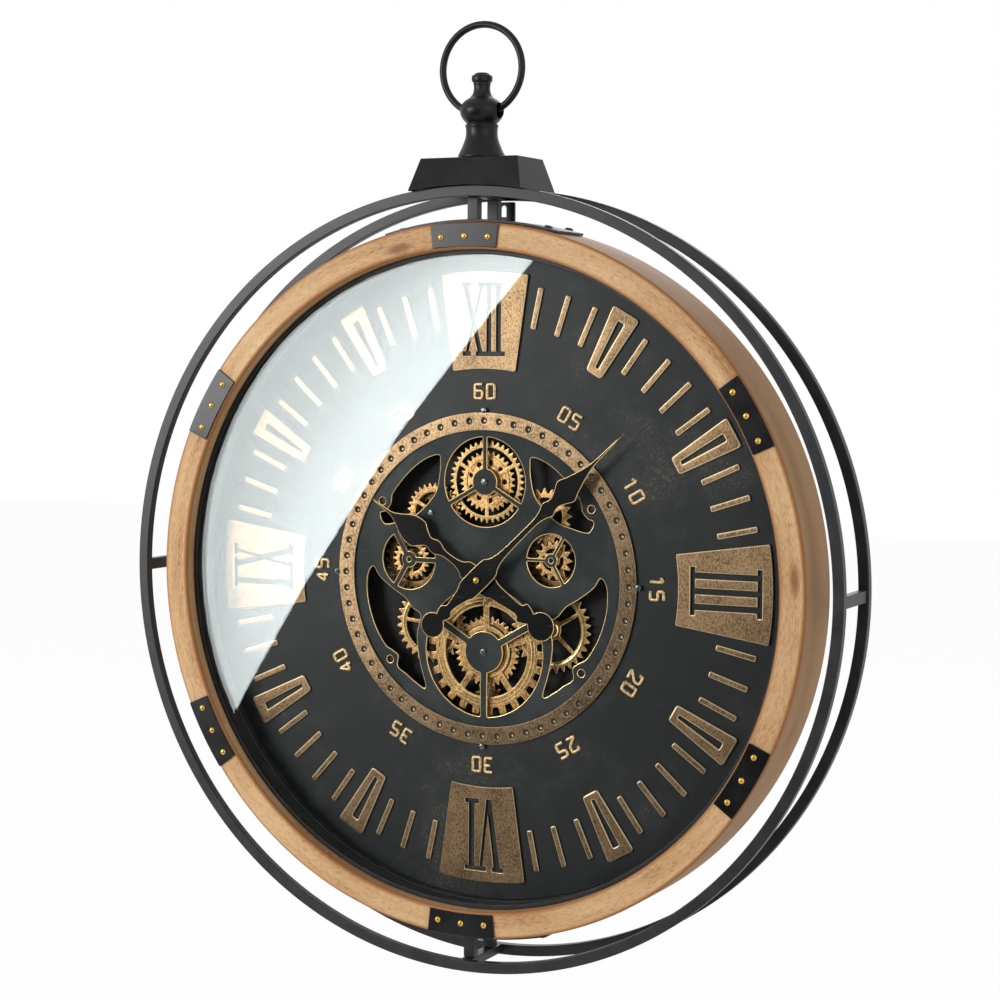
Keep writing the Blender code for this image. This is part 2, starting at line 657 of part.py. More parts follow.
PHASES["upper"] = meshed_phase(PLACES["upper_left"], UPPER_PINION_TEETH, 0.0, UPPER_PLACE, UPPER_TEETH)
PLACES["upper_right"] = meshed_place(PLACES["mid_right"], (SIDE_PINION_TEETH, SIDE_TEETH),
                                     TRAIN_DIRECTION["upper_right"])
PHASES["upper_right"] = meshed_phase(PLACES["mid_right"], SIDE_PINION_TEETH, 0.0, PLACES["upper_right"], SIDE_TEETH)


def toothed(teeth, module, phase):
    """A gear's outline: straight-flanked teeth with room to run."""
    radius = pitch_radius(teeth, module)
    pitch = FULL_TURN / teeth
    half_tooth, flank = 0.20 * math.pi * module, math.tan(math.radians(22))
    tip, root = 0.85 * module, 1.1 * module
    corners = [(radius - root, -(half_tooth + root * flank)), (radius + tip, -(half_tooth - tip * flank)),
               (radius + tip, half_tooth - tip * flank), (radius - root, half_tooth + root * flank)]
    return [(r * math.cos(phase + i * pitch + across / r), r * math.sin(phase + i * pitch + across / r))
            for i in range(teeth) for r, across in corners]


def wheel_blank(name, layer, place, teeth, phase, windows, spokes, module=TRAIN_MODULE, bored=True, hidden=False):
    """A spoked wheel: teeth outside, windows given as rim and hub, and mostly a bore."""
    rim, hub = windows
    root = pitch_radius(teeth, module) - 1.1 * module
    loops = [toothed(teeth, module, phase)]
    if bored:
        loops.append(circle(ARBOR_R + GAP, 8))
    if spokes:
        loops += spoke_windows(hub, root - rim, spokes, SPOKE_WIDTH, 30, count=4)
    return flat(name, BRONZE, loops, *layer, at=place, hidden=hidden)


def arbor(name, place, gear=None, material=DARK_BRONZE, hidden=False):
    """An arbor with a pivot at each end, and the gear that is cut in one piece with it, if it has one."""
    front, rear = SKELETON_THICK + GAP, REAR_PLATE_FRONT - GAP
    pivot_front, pivot_rear = 0.2, REAR_PLATE_FRONT + REAR_PLATE_THICK - 0.1
    profile = [(0, pivot_rear), (PIVOT_R, pivot_rear), (PIVOT_R, rear), (ARBOR_R, rear),
               (ARBOR_R, front), (PIVOT_R, front), (PIVOT_R, pivot_front), (0, pivot_front)]
    made = turned(name, material, profile, at=(place[0], 0, place[1]), steps=8, hidden=hidden)
    if gear:
        combined(made, (gear,), "UNION")
    return made


def great_wheel():
    """The big front wheel with square teeth, which turns with the fine wheel behind it."""
    teeth = GREAT_TEETH
    pitch = FULL_TURN / teeth
    root = GREAT_R - 6.0
    loop = []
    for i in range(teeth):
        for radius, share in ((root, -0.27), (GREAT_R, -0.23), (GREAT_R, 0.23), (root, 0.27)):
            turn = (i + share) * pitch
            loop.append((radius * math.cos(turn), radius * math.sin(turn)))
    loops = [loop, circle(ARBOR_R + GAP, 8)] + spoke_windows(20.5, GREAT_R - 14.5, 5, 5.0, 90, count=4)
    flat("great_wheel", BRONZE, loops, *FRONT_LAYER, at=GREAT_PLACE)


# each wheel's rim width and hub radius, and its number of spokes
REAR_WINDOWS = {"centre": (3.5, 9.0), "left": (4.5, 8.5), "right": (4.5, 8.5), "mid_left": (3.5, 7.5),
                "mid_right": (3.5, 7.0), "upper_left": (3.0, 6.5)}
REAR_SPOKES = {"centre": 0, "left": 5, "right": 5, "mid_left": 4, "mid_right": 4, "upper_left": 4}
FRONT_WINDOWS = {"mid_left": (3.0, 6.0), "mid_right": (3.0, 5.5), "upper_left": (4.5, 6.5),
                 "upper_right": (3.5, 6.0), "upper": (6.5, 13.0)}
FRONT_SPOKES = {"mid_left": 3, "mid_right": 3, "upper_left": 3, "upper_right": 4, "upper": 3}
SPOKE_WIDTH = 3.0
FINE_MODULE = 1.5
MID_LEFT_TEETH = 20
UPPER_INNER_TEETH = 22


def train():
    great_wheel()
    fronts = {"mid_left": (MID_LEFT_TEETH, FINE_MODULE), "mid_right": (SIDE_PINION_TEETH, TRAIN_MODULE),
              "upper_left": (UPPER_PINION_TEETH, UPPER_MODULE)}
    for wheel, windows in REAR_WINDOWS.items():
        name = "great_inner_wheel" if wheel == "centre" else f"{wheel}_wheel"
        blank = wheel_blank(name, REAR_LAYER, PLACES[wheel], TRAIN_TEETH[wheel], PHASES[wheel], windows,
                            REAR_SPOKES[wheel], bored=wheel in fronts)
        if wheel not in fronts:
            combined(blank, (arbor(f"{wheel}_core", PLACES[wheel], hidden=True),), "UNION")
    for wheel, (teeth, module) in fronts.items():
        gear = wheel_blank(f"{wheel}_front", FRONT_LAYER, PLACES[wheel], teeth, 0.0, FRONT_WINDOWS[wheel],
                           FRONT_SPOKES[wheel], module, bored=False, hidden=True)
        arbor(f"{wheel}_arbor", PLACES[wheel], gear, BRONZE)
    side = wheel_blank("upper_right_wheel", FRONT_LAYER, PLACES["upper_right"], SIDE_TEETH, PHASES["upper_right"],
                       FRONT_WINDOWS["upper_right"], FRONT_SPOKES["upper_right"], bored=False)
    combined(side, (arbor("upper_right_core", PLACES["upper_right"], hidden=True),), "UNION")
    wheel_blank("upper_wheel", FRONT_LAYER, UPPER_PLACE, UPPER_TEETH, PHASES["upper"], FRONT_WINDOWS["upper"],
                FRONT_SPOKES["upper"], UPPER_MODULE)
    flat("upper_inner_wheel", BRONZE, [toothed(UPPER_INNER_TEETH, FINE_MODULE, 0.0), circle(ARBOR_R + GAP, 8)],
         *REAR_LAYER, at=UPPER_PLACE)
    arbor("upper_arbor", UPPER_PLACE)


# Movement frame: pierced skeleton plate in front, rear plate behind, four pillars between

LOWER_WINDOW = [(-98.6, 5.0), (-103.5, -2.8), (-103.1, -20.6), (-97.1, -40.3), (-87.8, -55.8), (-81.0, -60.2),
                (-75.6, -64.5), (-76.0, -73.0), (-68.2, -78.5), (-60.5, -84.0), (-51.1, -88.2), (-55.8, -70.3),
                (-58.8, -53.2), (-58.6, -43.9), (-56.0, -31.3), (-63.2, -26.0), (-70.3, -18.1), (-80.9, -11.6),
                (-92.7, -2.7)]
UPPER_WINDOW = [(40.7, 94.8), (53.2, 90.5), (66.0, 80.9), (76.7, 69.2), (81.5, 62.0), (82.6, 55.0), (87.4, 49.6),
                (92.0, 47.6), (90.5, 42.0), (86.3, 39.4), (74.5, 42.1), (60.3, 47.4), (44.2, 63.5), (39.8, 77.9),
                (39.0, 89.5)]
GREAT_WINDOW_R = 50.5
UPPER_ROUND_WINDOW_R = 34.7
MID_LEFT_WINDOW_R = 23.4
MID_RIGHT_WINDOW_R = 20.2


def skeleton_plate():
    loops = [circle(DIAL_OPENING_R - GAP, BIG_STEPS), circle(BUSH_R + GAP, 12)]
    loops += spoke_windows(16.4, GREAT_WINDOW_R, 3, 6.0, 30, GREAT_PLACE, count=10)
    loops += spoke_windows(10.6, UPPER_ROUND_WINDOW_R, 3, 4.0, 90, UPPER_PLACE, count=9)
    loops += spoke_windows(6.6, MID_LEFT_WINDOW_R, 3, 4.5, 0, PLACES["mid_left"], count=7)
    loops += spoke_windows(5.6, MID_RIGHT_WINDOW_R, 3, 3.0, 60, PLACES["mid_right"], count=7)
    for window in (LOWER_WINDOW, UPPER_WINDOW):
        loops += [window, mirrored(window)]
    loops += [circle(PIVOT_R + GAP, 7, place) for wheel, place in PLACES.items() if wheel != "motor"]
    loops += [circle(PILLAR_HOLE_R, 8, place) for place in PILLAR_PLACES]
    flat("skeleton_plate", SLATE, loops, 0, SKELETON_THICK)


def rear_plate():
    loops = [circle(REAR_PLATE_R, 36), circle(BUSH_R + GAP, 12)]
    loops += [circle(PIVOT_R + GAP, 7, place) for wheel, place in PLACES.items() if wheel != "motor"]
    loops.append(circle(4.5, 10, PLACES["motor"]))
    flat("rear_plate", BLACK_STEEL, loops, REAR_PLATE_FRONT, REAR_PLATE_FRONT + REAR_PLATE_THICK)


def pillars():
    for number, place in enumerate(PILLAR_PLACES, start=1):
        rod(f"movement_pillar_{number}", GREY_STEEL, PILLAR_R, SKELETON_THICK + GAP, REAR_PLATE_FRONT - GAP,
            at=place, steps=10)


# Time movement with its battery, and the gear motor with its battery case, on the rear plate

BEHIND_PLATE = REAR_PLATE_FRONT + REAR_PLATE_THICK + GAP


def quartz_movement():
    half = MOVEMENT_SIZE / 2
    rear = BEHIND_PLATE + MOVEMENT_DEPTH
    box = block("quartz_movement", PLASTIC, (-half, BEHIND_PLATE, -half), (half, rear, half))
    bush = rod("bush", BRASS, BUSH_R, HOUR_FRONT + HAND_THICK + 3.0, BEHIND_PLATE + 1, steps=12, hidden=True)
    combined(box, (bush,), "UNION")
    bore = rod("bush_bore", BRASS, PIPE_R + GAP, HOUR_FRONT, BEHIND_PLATE + 2, steps=12, hidden=True)
    through = rod("arbor_bore", BRASS, MINUTE_ARBOR_R + GAP, 0, rear + 1, steps=12, hidden=True)
    depth, width = MOVEMENT_BAY
    bay = block("cell_bay", PLASTIC, (-width / 2, rear - depth - 1, -half + 3), (width / 2, rear + 1, -half + 15.5),
                hidden=True)
    combined(box, (bore, through, bay), "DIFFERENCE")
    turned("movement_cell", CELL_WRAP, [(0, CELL_LENGTH / 2), (CELL_R, CELL_LENGTH / 2), (CELL_R, -CELL_LENGTH / 2),
                                        (0, -CELL_LENGTH / 2)],
           axis="X", at=(0, rear - CELL_R - GAP, -half + 9.2), steps=12)
    nut = [(8.4 * math.cos(k * math.pi / 3), 8.4 * math.sin(k * math.pi / 3)) for k in range(6)]
    flat("bush_nut", BRASS, [nut, circle(BUSH_R + GAP, 12)], -3.2, -GAP)
    turned("setting_wheel", PLASTIC, [(7.0, rear + 2.9), (7.0, rear + GAP), (MINUTE_ARBOR_R + 0.05, rear + GAP),
                                      (MINUTE_ARBOR_R + 0.05, rear + 2.9)], steps=16)
    return rear


def gear_motor():
    x, z = PLACES["motor"]
    body = rod("gear_motor", GREY_STEEL, MOTOR_R, BEHIND_PLATE, BEHIND_PLATE + MOTOR_LENGTH, at=(x, z), steps=16)
    shaft = rod("motor_shaft", GREY_STEEL, 1.2, REAR_LAYER[0] - 1, BEHIND_PLATE + 1, at=(x, z), steps=8, hidden=True)
    combined(body, (shaft,), "UNION")
    teeth = TRAIN_TEETH["motor"]
    flat("motor_pinion", BRASS, [toothed(teeth, TRAIN_MODULE, PHASES["motor"]), circle(1.2 + GAP, 8)],
         *REAR_LAYER, at=(x, z))


def battery_case():
    x, z = BATTERY_CASE_PLACE
    half_x, half_z = BATTERY_CASE_SIZE[0] / 2, BATTERY_CASE_SIZE[1] / 2
    rear = BEHIND_PLATE + CASE_DEPTH - COVER_THICK - GAP
    tray = block("battery_tray", PLASTIC, (x - half_x, BEHIND_PLATE, z - half_z), (x + half_x, rear, z + half_z))
    hollow = block("tray_hollow", PLASTIC, (x - half_x + CASE_WALL, BEHIND_PLATE + CASE_WALL, z - half_z + CASE_WALL),
                   (x + half_x - CASE_WALL, rear + 5, z + half_z - CASE_WALL), hidden=True)
    combined(tray, (hollow,), "DIFFERENCE")
    for number, offset in ((1, -7.5), (2, 7.5)):
        length = LARGE_CELL_LENGTH / 2
        turned(f"motor_cell_{number}", CELL_WRAP, [(0, length), (LARGE_CELL_R, length), (LARGE_CELL_R, -length),
                                                   (0, -length)],
               axis="X", at=(x, BEHIND_PLATE + CASE_WALL + LARGE_CELL_R + GAP, z + offset), steps=12)
    block("battery_cover", PLASTIC, (x - half_x, rear + GAP, z - half_z),
          (x + half_x, rear + GAP + COVER_THICK, z + half_z))


# Hands

def hand_outline(profile, disc_at, disc_r, tail):
    """A spade hand along +Z: its half widths, then a stem and a round counterweight below the hub."""
    right = [(half, along) for along, half in reversed(profile)]
    right += [(half, -along) for along, half in tail]
    edge_z = -disc_at + math.sqrt(disc_r ** 2 - tail[-1][1] ** 2)
    start = math.degrees(math.atan2(edge_z + disc_at, tail[-1][1]))
    disc = arc(disc_r, start, -180 - start, 14, (0, -disc_at))
    left = [(-x, z) for x, z in reversed(right)]
    return right[:-1] + disc + left[1:-1] + [(-profile[-1][1], profile[-1][0])]


MINUTE_PROFILE = [(12.5, 8.6), (19.0, 5.6), (26.0, 3.6), (36.0, 2.8), (53.0, 2.4), (68.0, 2.5), (76.0, 4.0),
                  (82.0, 6.4), (86.5, 5.0), (90.5, 4.6), (96.0, 6.8), (103.0, 10.2), (110.0, 7.6), (121.0, 4.2),
                  (130.0, 2.0), (139.0, 1.2), (153.0, 0.8), (166.8, 0.3)]
MINUTE_TAIL = [(10.5, 8.6), (16.0, 6.6), (26.0, 4.2), (33.5, 3.4), (36.5, 6.0), (41.0, 5.6), (43.5, 4.2)]
HOUR_PROFILE = [(12.0, 8.0), (18.0, 4.6), (25.0, 2.8), (36.0, 2.8), (42.5, 5.4), (46.5, 5.6), (52.0, 4.2),
                (58.0, 8.0), (62.5, 11.4), (70.0, 11.4), (77.0, 9.0), (83.0, 5.4), (90.0, 2.0), (96.0, 1.2),
                (105.0, 0.8), (112.8, 0.3)]
HOUR_TAIL = [(10.0, 8.6), (16.0, 6.8), (28.0, 5.4), (40.0, 4.6), (43.5, 8.2), (48.0, 7.2), (52.5, 5.0)]


def hands(movement_rear):
    hour_rear = HOUR_FRONT + HAND_THICK
    minute_rear = MINUTE_FRONT + HAND_THICK
    blades = (("minute_hand", MINUTE_PROFILE, 53.3, 10.0, MINUTE_TAIL, MINUTE_ARBOR_R + 0.05, MINUTE_FRONT,
               MINUTE_ANGLE),
              ("hour_hand", HOUR_PROFILE, 62.5, 11.2, HOUR_TAIL, PIPE_R + 0.05, HOUR_FRONT, HOUR_ANGLE))
    for name, profile, disc_at, disc_r, tail, bore, front, angle in blades:
        outline = hand_outline(profile, disc_at, disc_r, tail)
        blade = flat(name, SLATE, [outline, circle(bore, 12)], front, front + HAND_THICK)
        blade.data.transform(Matrix.Rotation(math.radians(angle), 4, "Y"))
    ring("hour_pipe", BRASS, MINUTE_ARBOR_R + GAP, PIPE_R, HOUR_FRONT - 0.6, BEHIND_PLATE + 1.5, steps=12)
    rod("minute_arbor", GREY_STEEL, MINUTE_ARBOR_R, MINUTE_FRONT - 1.0, movement_rear + 2.6, steps=12)
    bore = MINUTE_ARBOR_R + 0.05
    seat, floor = MINUTE_FRONT - 0.1, MINUTE_FRONT - 1.3
    turned("hand_cap", BRASS, [(2.8, seat), (2.8, MINUTE_FRONT - 1.8), (1.6, MINUTE_FRONT - 2.7), (0, MINUTE_FRONT - 2.7),
                               (0, floor), (bore, floor), (bore, seat)], steps=12)


hoops()
struts()
crown_box()
finial()
bail()
bracket("top", 1)
bracket("bottom", -1)
hanger_plate()
wood_ring()
corner_plates()
case()
dial()
chapter_ring()
train()
skeleton_plate()
rear_plate()
pillars()
hands(quartz_movement())
gear_motor()
battery_case()
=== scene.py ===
"""Wall clock: a wooden ring with a glazed skeleton dial, held inside twin black hoops.

Sizes are in millimetres about the dial's centre, with y = 0 on the dial's front and the viewer at -y. Every
finished mesh is then laid in the frame, in metres. A clock angle is in degrees, clockwise from twelve.
"""
import json
import math

import bmesh
import bpy
from mathutils import Matrix, Vector


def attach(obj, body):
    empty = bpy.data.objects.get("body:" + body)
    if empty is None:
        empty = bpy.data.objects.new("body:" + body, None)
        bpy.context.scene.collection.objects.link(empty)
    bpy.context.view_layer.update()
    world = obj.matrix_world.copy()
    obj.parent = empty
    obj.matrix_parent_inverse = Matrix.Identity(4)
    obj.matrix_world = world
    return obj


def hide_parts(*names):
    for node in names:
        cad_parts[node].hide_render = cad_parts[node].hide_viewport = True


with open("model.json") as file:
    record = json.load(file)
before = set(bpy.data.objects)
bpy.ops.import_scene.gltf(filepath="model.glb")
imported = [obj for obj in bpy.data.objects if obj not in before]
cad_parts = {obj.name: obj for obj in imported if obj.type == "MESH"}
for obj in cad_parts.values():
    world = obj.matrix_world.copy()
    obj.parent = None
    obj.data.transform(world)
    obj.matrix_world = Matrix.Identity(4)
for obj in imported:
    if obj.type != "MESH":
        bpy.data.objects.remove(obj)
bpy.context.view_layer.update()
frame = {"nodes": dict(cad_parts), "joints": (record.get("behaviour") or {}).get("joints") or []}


# Room. The camera stands to the right of the dial, level with its upper half, as in the photograph. The clock
# hangs over a pale floor, lit by one big soft lamp from the upper left and by weaker ones from the right and
# behind.

EYE = (0.801, -1.6041, -0.1169)
RIGHT, UP, BACK = (0.89387, 0.44828, 0.00605), (-0.03527, 0.05685, 0.99776), (0.44693, -0.89208, 0.06663)
LENS = 82.6
LAMPS = {"softbox_lamp": ((-1.6, -2.0, 0.15), 0.95, 38.0), "fill_lamp": ((2.4, -1.6, 0.6), 1.6, 12.0),
         "back_lamp": ((-0.8, 2.2, 1.2), 1.6, 20.0)}
LAMPS_AIM = Vector((0, -0.03, -0.3))
WHITE = (1.0, 1.0, 1.0)
ROOM_LIGHT, FLOOR_GLOW = 0.42, 0.96
FLOOR_Z, FLOOR_HALF = -0.76, 6.0


class Wire:
    """A node's output that takes part in arithmetic: each operator adds its Math node."""

    def __init__(self, tree, socket):
        self.tree, self.socket = tree, socket


def operator(operation, reflected=False):
    def act(*values):
        return values[0].tree.maths(operation, *(reversed(values) if reflected else values))
    return act


OPERATORS = {"__add__": "ADD", "__sub__": "SUBTRACT", "__mul__": "MULTIPLY", "__truediv__": "DIVIDE",
             "__mod__": "FLOORED_MODULO", "__gt__": "GREATER_THAN", "__lt__": "LESS_THAN",
             "__abs__": "ABSOLUTE", "most": "MAXIMUM", "least": "MINIMUM"}
REFLECTED = {"__radd__": "ADD", "__rsub__": "SUBTRACT", "__rmul__": "MULTIPLY"}
for table in (OPERATORS, REFLECTED):
    for name, operation in table.items():
        setattr(Wire, name, operator(operation, reflected=table is REFLECTED))


class Nodes:
    """A node tree of this scene: a finish, the world, or a pattern of copies."""

    def __init__(self, tree):
        self.tree = tree

    def node(self, kind, settings=None, values=None, output=0):
        """Adds a node: its settings first, a ramp's stops among them, then its sockets' values or links."""
        made = self.tree.nodes.new(kind)
        for name, setting in (settings or {}).items():
            if name == "stops":
                ramp = made.color_ramp
                while len(ramp.elements) < len(setting):
                    ramp.elements.new(1.0)
                for stop, (place, colour) in zip(ramp.elements, setting):
                    stop.position, stop.color = place, (*colour, 1.0)
            else:
                setattr(made, name, setting)
        for name, value in (values or {}).items():
            self.put(made.inputs[name], value)
        return Wire(self, made.outputs[output]) if made.outputs else made

    def maths(self, operation, *values):
        return self.node("ShaderNodeMath", {"operation": operation}, dict(enumerate(values)))

    def vector(self, x, y, z):
        return self.node("ShaderNodeCombineXYZ", None, {0: x, 1: y, 2: z})

    def put(self, socket, value):
        if isinstance(value, Wire):
            self.tree.links.new(value.socket, socket)
        elif socket.type == "RGBA":
            socket.default_value = (*value, 1.0)
        else:
            socket.default_value = value

    def shows_mix(self, share, first, second, output="Material Output"):
        """The surface is the first shader, and the second one for its share."""
        mix = self.node("ShaderNodeMixShader", None, {0: share, 1: first, 2: second})
        self.put(self.tree.nodes[output].inputs["Surface"], mix)


class Finish(Nodes):
    """A surface with its slot in the record. Nodes vary its shader over the object's coordinates."""

    def __init__(self, name, slot=None, **sockets):
        self.material, self.slot = bpy.data.materials.new(name), slot
        self.material.use_nodes = True
        super().__init__(self.material.node_tree)
        self.sockets = self.tree.nodes["Principled BSDF"].inputs
        self.shader = Wire(self, self.tree.nodes["Principled BSDF"].outputs[0])
        self.place = self.node("ShaderNodeTexCoord", output="Object")
        self.set(**sockets)

    def set(self, **sockets):
        for name, value in sockets.items():
            self.put(self.sockets[name.replace("_", " ").title().replace("Ior", "IOR")], value)

    def noise(self, scale, detail=3.0, roughness=0.55, place=None):
        return self.node("ShaderNodeTexNoise", None, {"Vector": place or self.place, "Scale": scale,
                                                      "Detail": detail, "Roughness": roughness})

    def fade(self, value, low, high):
        """0 below low and 1 above high, with a soft step between."""
        return self.node("ShaderNodeMapRange", {"interpolation_type": "SMOOTHSTEP"},
                         {"Value": value, "From Min": low, "From Max": high})

    def mix(self, first, second, factor):
        return self.node("ShaderNodeMix", {"data_type": "RGBA"}, {0: factor, 6: first, 7: second}, output=2)

    def bump(self, height, distance, strength=1.0):
        return self.node("ShaderNodeBump", None,
                         {"Strength": strength, "Distance": distance, "Height": height})

    def stretched(self, scale, turn=0.0):
        """The object's coordinates, stretched along each axis and turned about y, in radians."""
        return self.node("ShaderNodeMapping", None, {"Vector": self.place, "Scale": scale,
                                                     "Rotation": (0.0, turn, 0.0)})

    def part(self, vector, axis):
        return self.node("ShaderNodeSeparateXYZ", None, {0: vector}, output=axis)

    def turned_away(self, full=0.97, none=0.80):
        """1 where the surface turns away from the dial's front, as on a rounded edge, and 0 elsewhere."""
        normal = self.node("ShaderNodeTexCoord", output="Normal")
        return 1 - self.fade(abs(self.part(normal, "Y")), none, full)


def paint(red, green, blue):
    """The linear colour of an 8-bit screen colour."""
    return tuple(c / 255 / 12.92 if c <= 10 else ((c / 255 + 0.055) / 1.055) ** 2.4
                 for c in (red, green, blue))


def seen_and_mirrored(tree):
    """1 for rays from the camera, off a gloss or through glass, and 0 for the soft light between surfaces."""
    camera_ray, glossy_ray, through_ray = (tree.node("ShaderNodeLightPath", output=f"Is {kind} Ray")
                                           for kind in ("Camera", "Glossy", "Transmission"))
    return camera_ray.most(glossy_ray).most(through_ray)


def linked(name, data):
    """A new object of the scene with this data."""
    made = bpy.data.objects.new(name, data)
    scene.collection.objects.link(made)
    return made


def flat_stage(name, corners, finish):
    """A flat sheet of the stage, which is no part of the clock."""
    mesh = bpy.data.meshes.new(name)
    mesh.from_pydata(corners, [], [tuple(range(len(corners)))])
    mesh.materials.append(finish.material)
    sheet = linked(name, mesh)
    return sheet


scene = bpy.context.scene
scene.view_settings.view_transform = "Standard"
world = bpy.data.worlds.new("white_room")
world.use_nodes = True
scene.world = world
air = Nodes(world.node_tree)
lit, shown = (air.node("ShaderNodeBackground", None, {"Color": WHITE, "Strength": strength})
              for strength in (ROOM_LIGHT, 1.0))
air.shows_mix(seen_and_mirrored(air), lit, shown, "World Output")

camera = linked("camera", bpy.data.cameras.new("camera"))
camera.data.lens = LENS
camera.matrix_world = Matrix.Translation(EYE) @ Matrix((RIGHT, UP, BACK)).transposed().to_4x4()
scene.camera = camera

lamps = []
for name, (place, size, power) in LAMPS.items():
    lamp = linked(name, bpy.data.lights.new(name, "AREA"))
    lamp.data.shape, lamp.data.size, lamp.data.energy = "SQUARE", size, power
    aim = LAMPS_AIM - Vector(place)
    lamp.matrix_world = Matrix.Translation(place) @ aim.to_track_quat("-Z", "Y").to_matrix().to_4x4()
    lamps.append(lamp)

pale = Finish("pale_floor", base_color=(0.85, 0.85, 0.85), roughness=0.7)
pale.shows_mix(seen_and_mirrored(pale) * FLOOR_GLOW, pale.shader,
               pale.node("ShaderNodeEmission", None, {"Color": WHITE, "Strength": 1.0}))
corners = [(x * FLOOR_HALF, y * FLOOR_HALF, FLOOR_Z) for x, y in ((-1, -1), (1, -1), (1, 1), (-1, 1))]
flat_stage("floor", corners, pale)


# Hoops. Two flat steel bars bent into rings, one in front of the other, and four short struts welded between
# them at twelve, three, six and nine o'clock. All of it is powder-coated in satin black.

MM = 0.001
GAP = 0.3
DIAL_PLACE = Vector((0, -32.1, -295.85)) * MM
HOOP_R, HOOP_BAR, HOOP_DEPTH = 300.0, 8.3, 6.9
HOOP_FRONT, WALL = -32.7, 32.1
STRUT_WIDTH, STRUT_DEPTH = 9.0, 6.8
STRUT_INNER = HOOP_R - HOOP_BAR
STRUT_ENDS = (HOOP_FRONT + HOOP_DEPTH, WALL - HOOP_DEPTH)
WELD_R, WELD_HALF, WELD_BORE, WELD_OVAL = STRUT_WIDTH / 2 + 0.6, 0.7, 2.0, 0.62


def bend(start, corner, end, shares):
    """Points on the curve that eases a corner."""
    return [tuple(start * (1 - t) ** 2 + corner * (2 * t * (1 - t)) + end * t ** 2) for t in shares]


def rounded(corners, radius, steps=3):
    """A closed outline whose corners are rounded, less where a side is short. One radius, or one a corner."""
    made = []
    for i, corner in enumerate(corners):
        here = Vector(corner)
        before, after = Vector(corners[i - 1]) - here, Vector(corners[(i + 1) % len(corners)]) - here
        wanted = radius[i] if isinstance(radius, (list, tuple)) else radius
        half = before.angle(after) / 2
        if not wanted or half > math.radians(88):
            made.append(tuple(here))
            continue
        reach = min(wanted / math.tan(half), before.length * 0.49, after.length * 0.49)
        made += bend(here + before.normalized() * reach, here, here + after.normalized() * reach,
                     [k / steps for k in range(steps + 1)])
    return made


def plain_mesh(piece):
    """What the object shows, with its modifiers or its curve's thickness, as a mesh."""
    bpy.context.view_layer.update()
    return bpy.data.meshes.new_from_object(piece.evaluated_get(bpy.context.evaluated_depsgraph_get()))


def settled(piece):
    """The piece with its modifiers turned into plain mesh."""
    mesh = plain_mesh(piece)
    piece.modifiers.clear()
    piece.data = mesh
    return piece


def soft(piece, degrees=50):
    """Shades the piece smooth between its sharp edges, with its flat faces kept flat."""
    piece.data.shade_smooth()
    piece.data.set_sharp_from_angle(angle=math.radians(degrees))
    flattener = piece.modifiers.new("flat_faces", "WEIGHTED_NORMAL")
    flattener.keep_sharp, flattener.weight = True, 80
    return settled(piece)


def meshed(shape, name="shape"):
    """A mesh of the shape, which is used up."""
    mesh = bpy.data.meshes.new(name)
    shape.to_mesh(mesh)
    shape.free()
    return mesh


def shaped(mesh):
    """A shape that can be edited, from a mesh."""
    shape = bmesh.new()
    shape.from_mesh(mesh)
    return shape


def laid(name, shape, at=(0, 0, 0), degrees=50):
    """An object at the origin, whose mesh takes its place in the frame from millimetres about `at`."""
    mesh = meshed(shape, name)
    mesh.transform(Matrix.Translation(DIAL_PLACE) @ Matrix.Scale(MM, 4) @ Matrix.Translation(at))
    return soft(linked(name, mesh), degrees)


def moved(shape, by=(0, 0, 0), turn=0.0, size=(1, 1, 1)):
    """The shape sized and moved, then turned round the dial's centre by degrees, clockwise."""
    bmesh.ops.scale(shape, vec=size, verts=shape.verts)
    bmesh.ops.translate(shape, vec=by, verts=shape.verts)
    bmesh.ops.rotate(shape, verts=shape.verts, cent=(0, 0, 0),
                     matrix=Matrix.Rotation(math.radians(turn), 3, "Y"))
    return shape


def cleaned(shape, distance):
    """The shape with its doubles merged and its faces turned outwards."""
    bmesh.ops.remove_doubles(shape, verts=shape.verts, dist=distance)
    bmesh.ops.recalc_face_normals(shape, faces=shape.faces)
    return shape


def lathe(profile, steps=256, axis="Y", closed=True):
    """A turned shape. The profile is (radius, place along the axis); an open one has its ends on the axis."""
    shape = bmesh.new()
    rows = []
    for radius, along in profile:
        rows.append([])
        for i in range(steps):
            turn = math.tau * i / steps
            place = [radius * math.sin(turn), radius * math.cos(turn)]
            place.insert("XYZ".index(axis), along)
            rows[-1].append(shape.verts.new(place))
    for a, b in list(zip(rows, rows[1:])) + ([(rows[-1], rows[0])] if closed else []):
        for i in range(steps):
            shape.faces.new((a[i], b[i], b[(i + 1) % steps], a[(i + 1) % steps]))
    return cleaned(shape, 1e-5)


def turned(profile, steps, axis="Y"):
    """A solid turned shape."""
    return lathe(profile, steps, axis, closed=False)


def flat_ring(outer, bore, front, rear, edge, steps=3, turns=256):
    """A ring of rectangular section, its corners eased."""
    return lathe(rounded([(outer, rear), (outer, front), (bore, front), (bore, rear)], edge, steps), turns)


def bar(low, high, edge=0.5, segments=2):
    """A bar or block between two corners, with its edges eased."""
    shape = bmesh.new()
    bmesh.ops.create_cube(shape, size=1)
    low, high = Vector(low), Vector(high)
    moved(shape, (low + high) / 2, size=high - low)
    bmesh.ops.bevel(shape, geom=shape.edges, offset=edge, segments=segments, profile=0.5, affect="EDGES")
    return shape


def merged(*shapes):
    """Several shapes in one."""
    whole = bmesh.new()
    for shape in shapes:
        mesh = meshed(shape)
        whole.from_mesh(mesh)
        bpy.data.meshes.remove(mesh)
    return whole


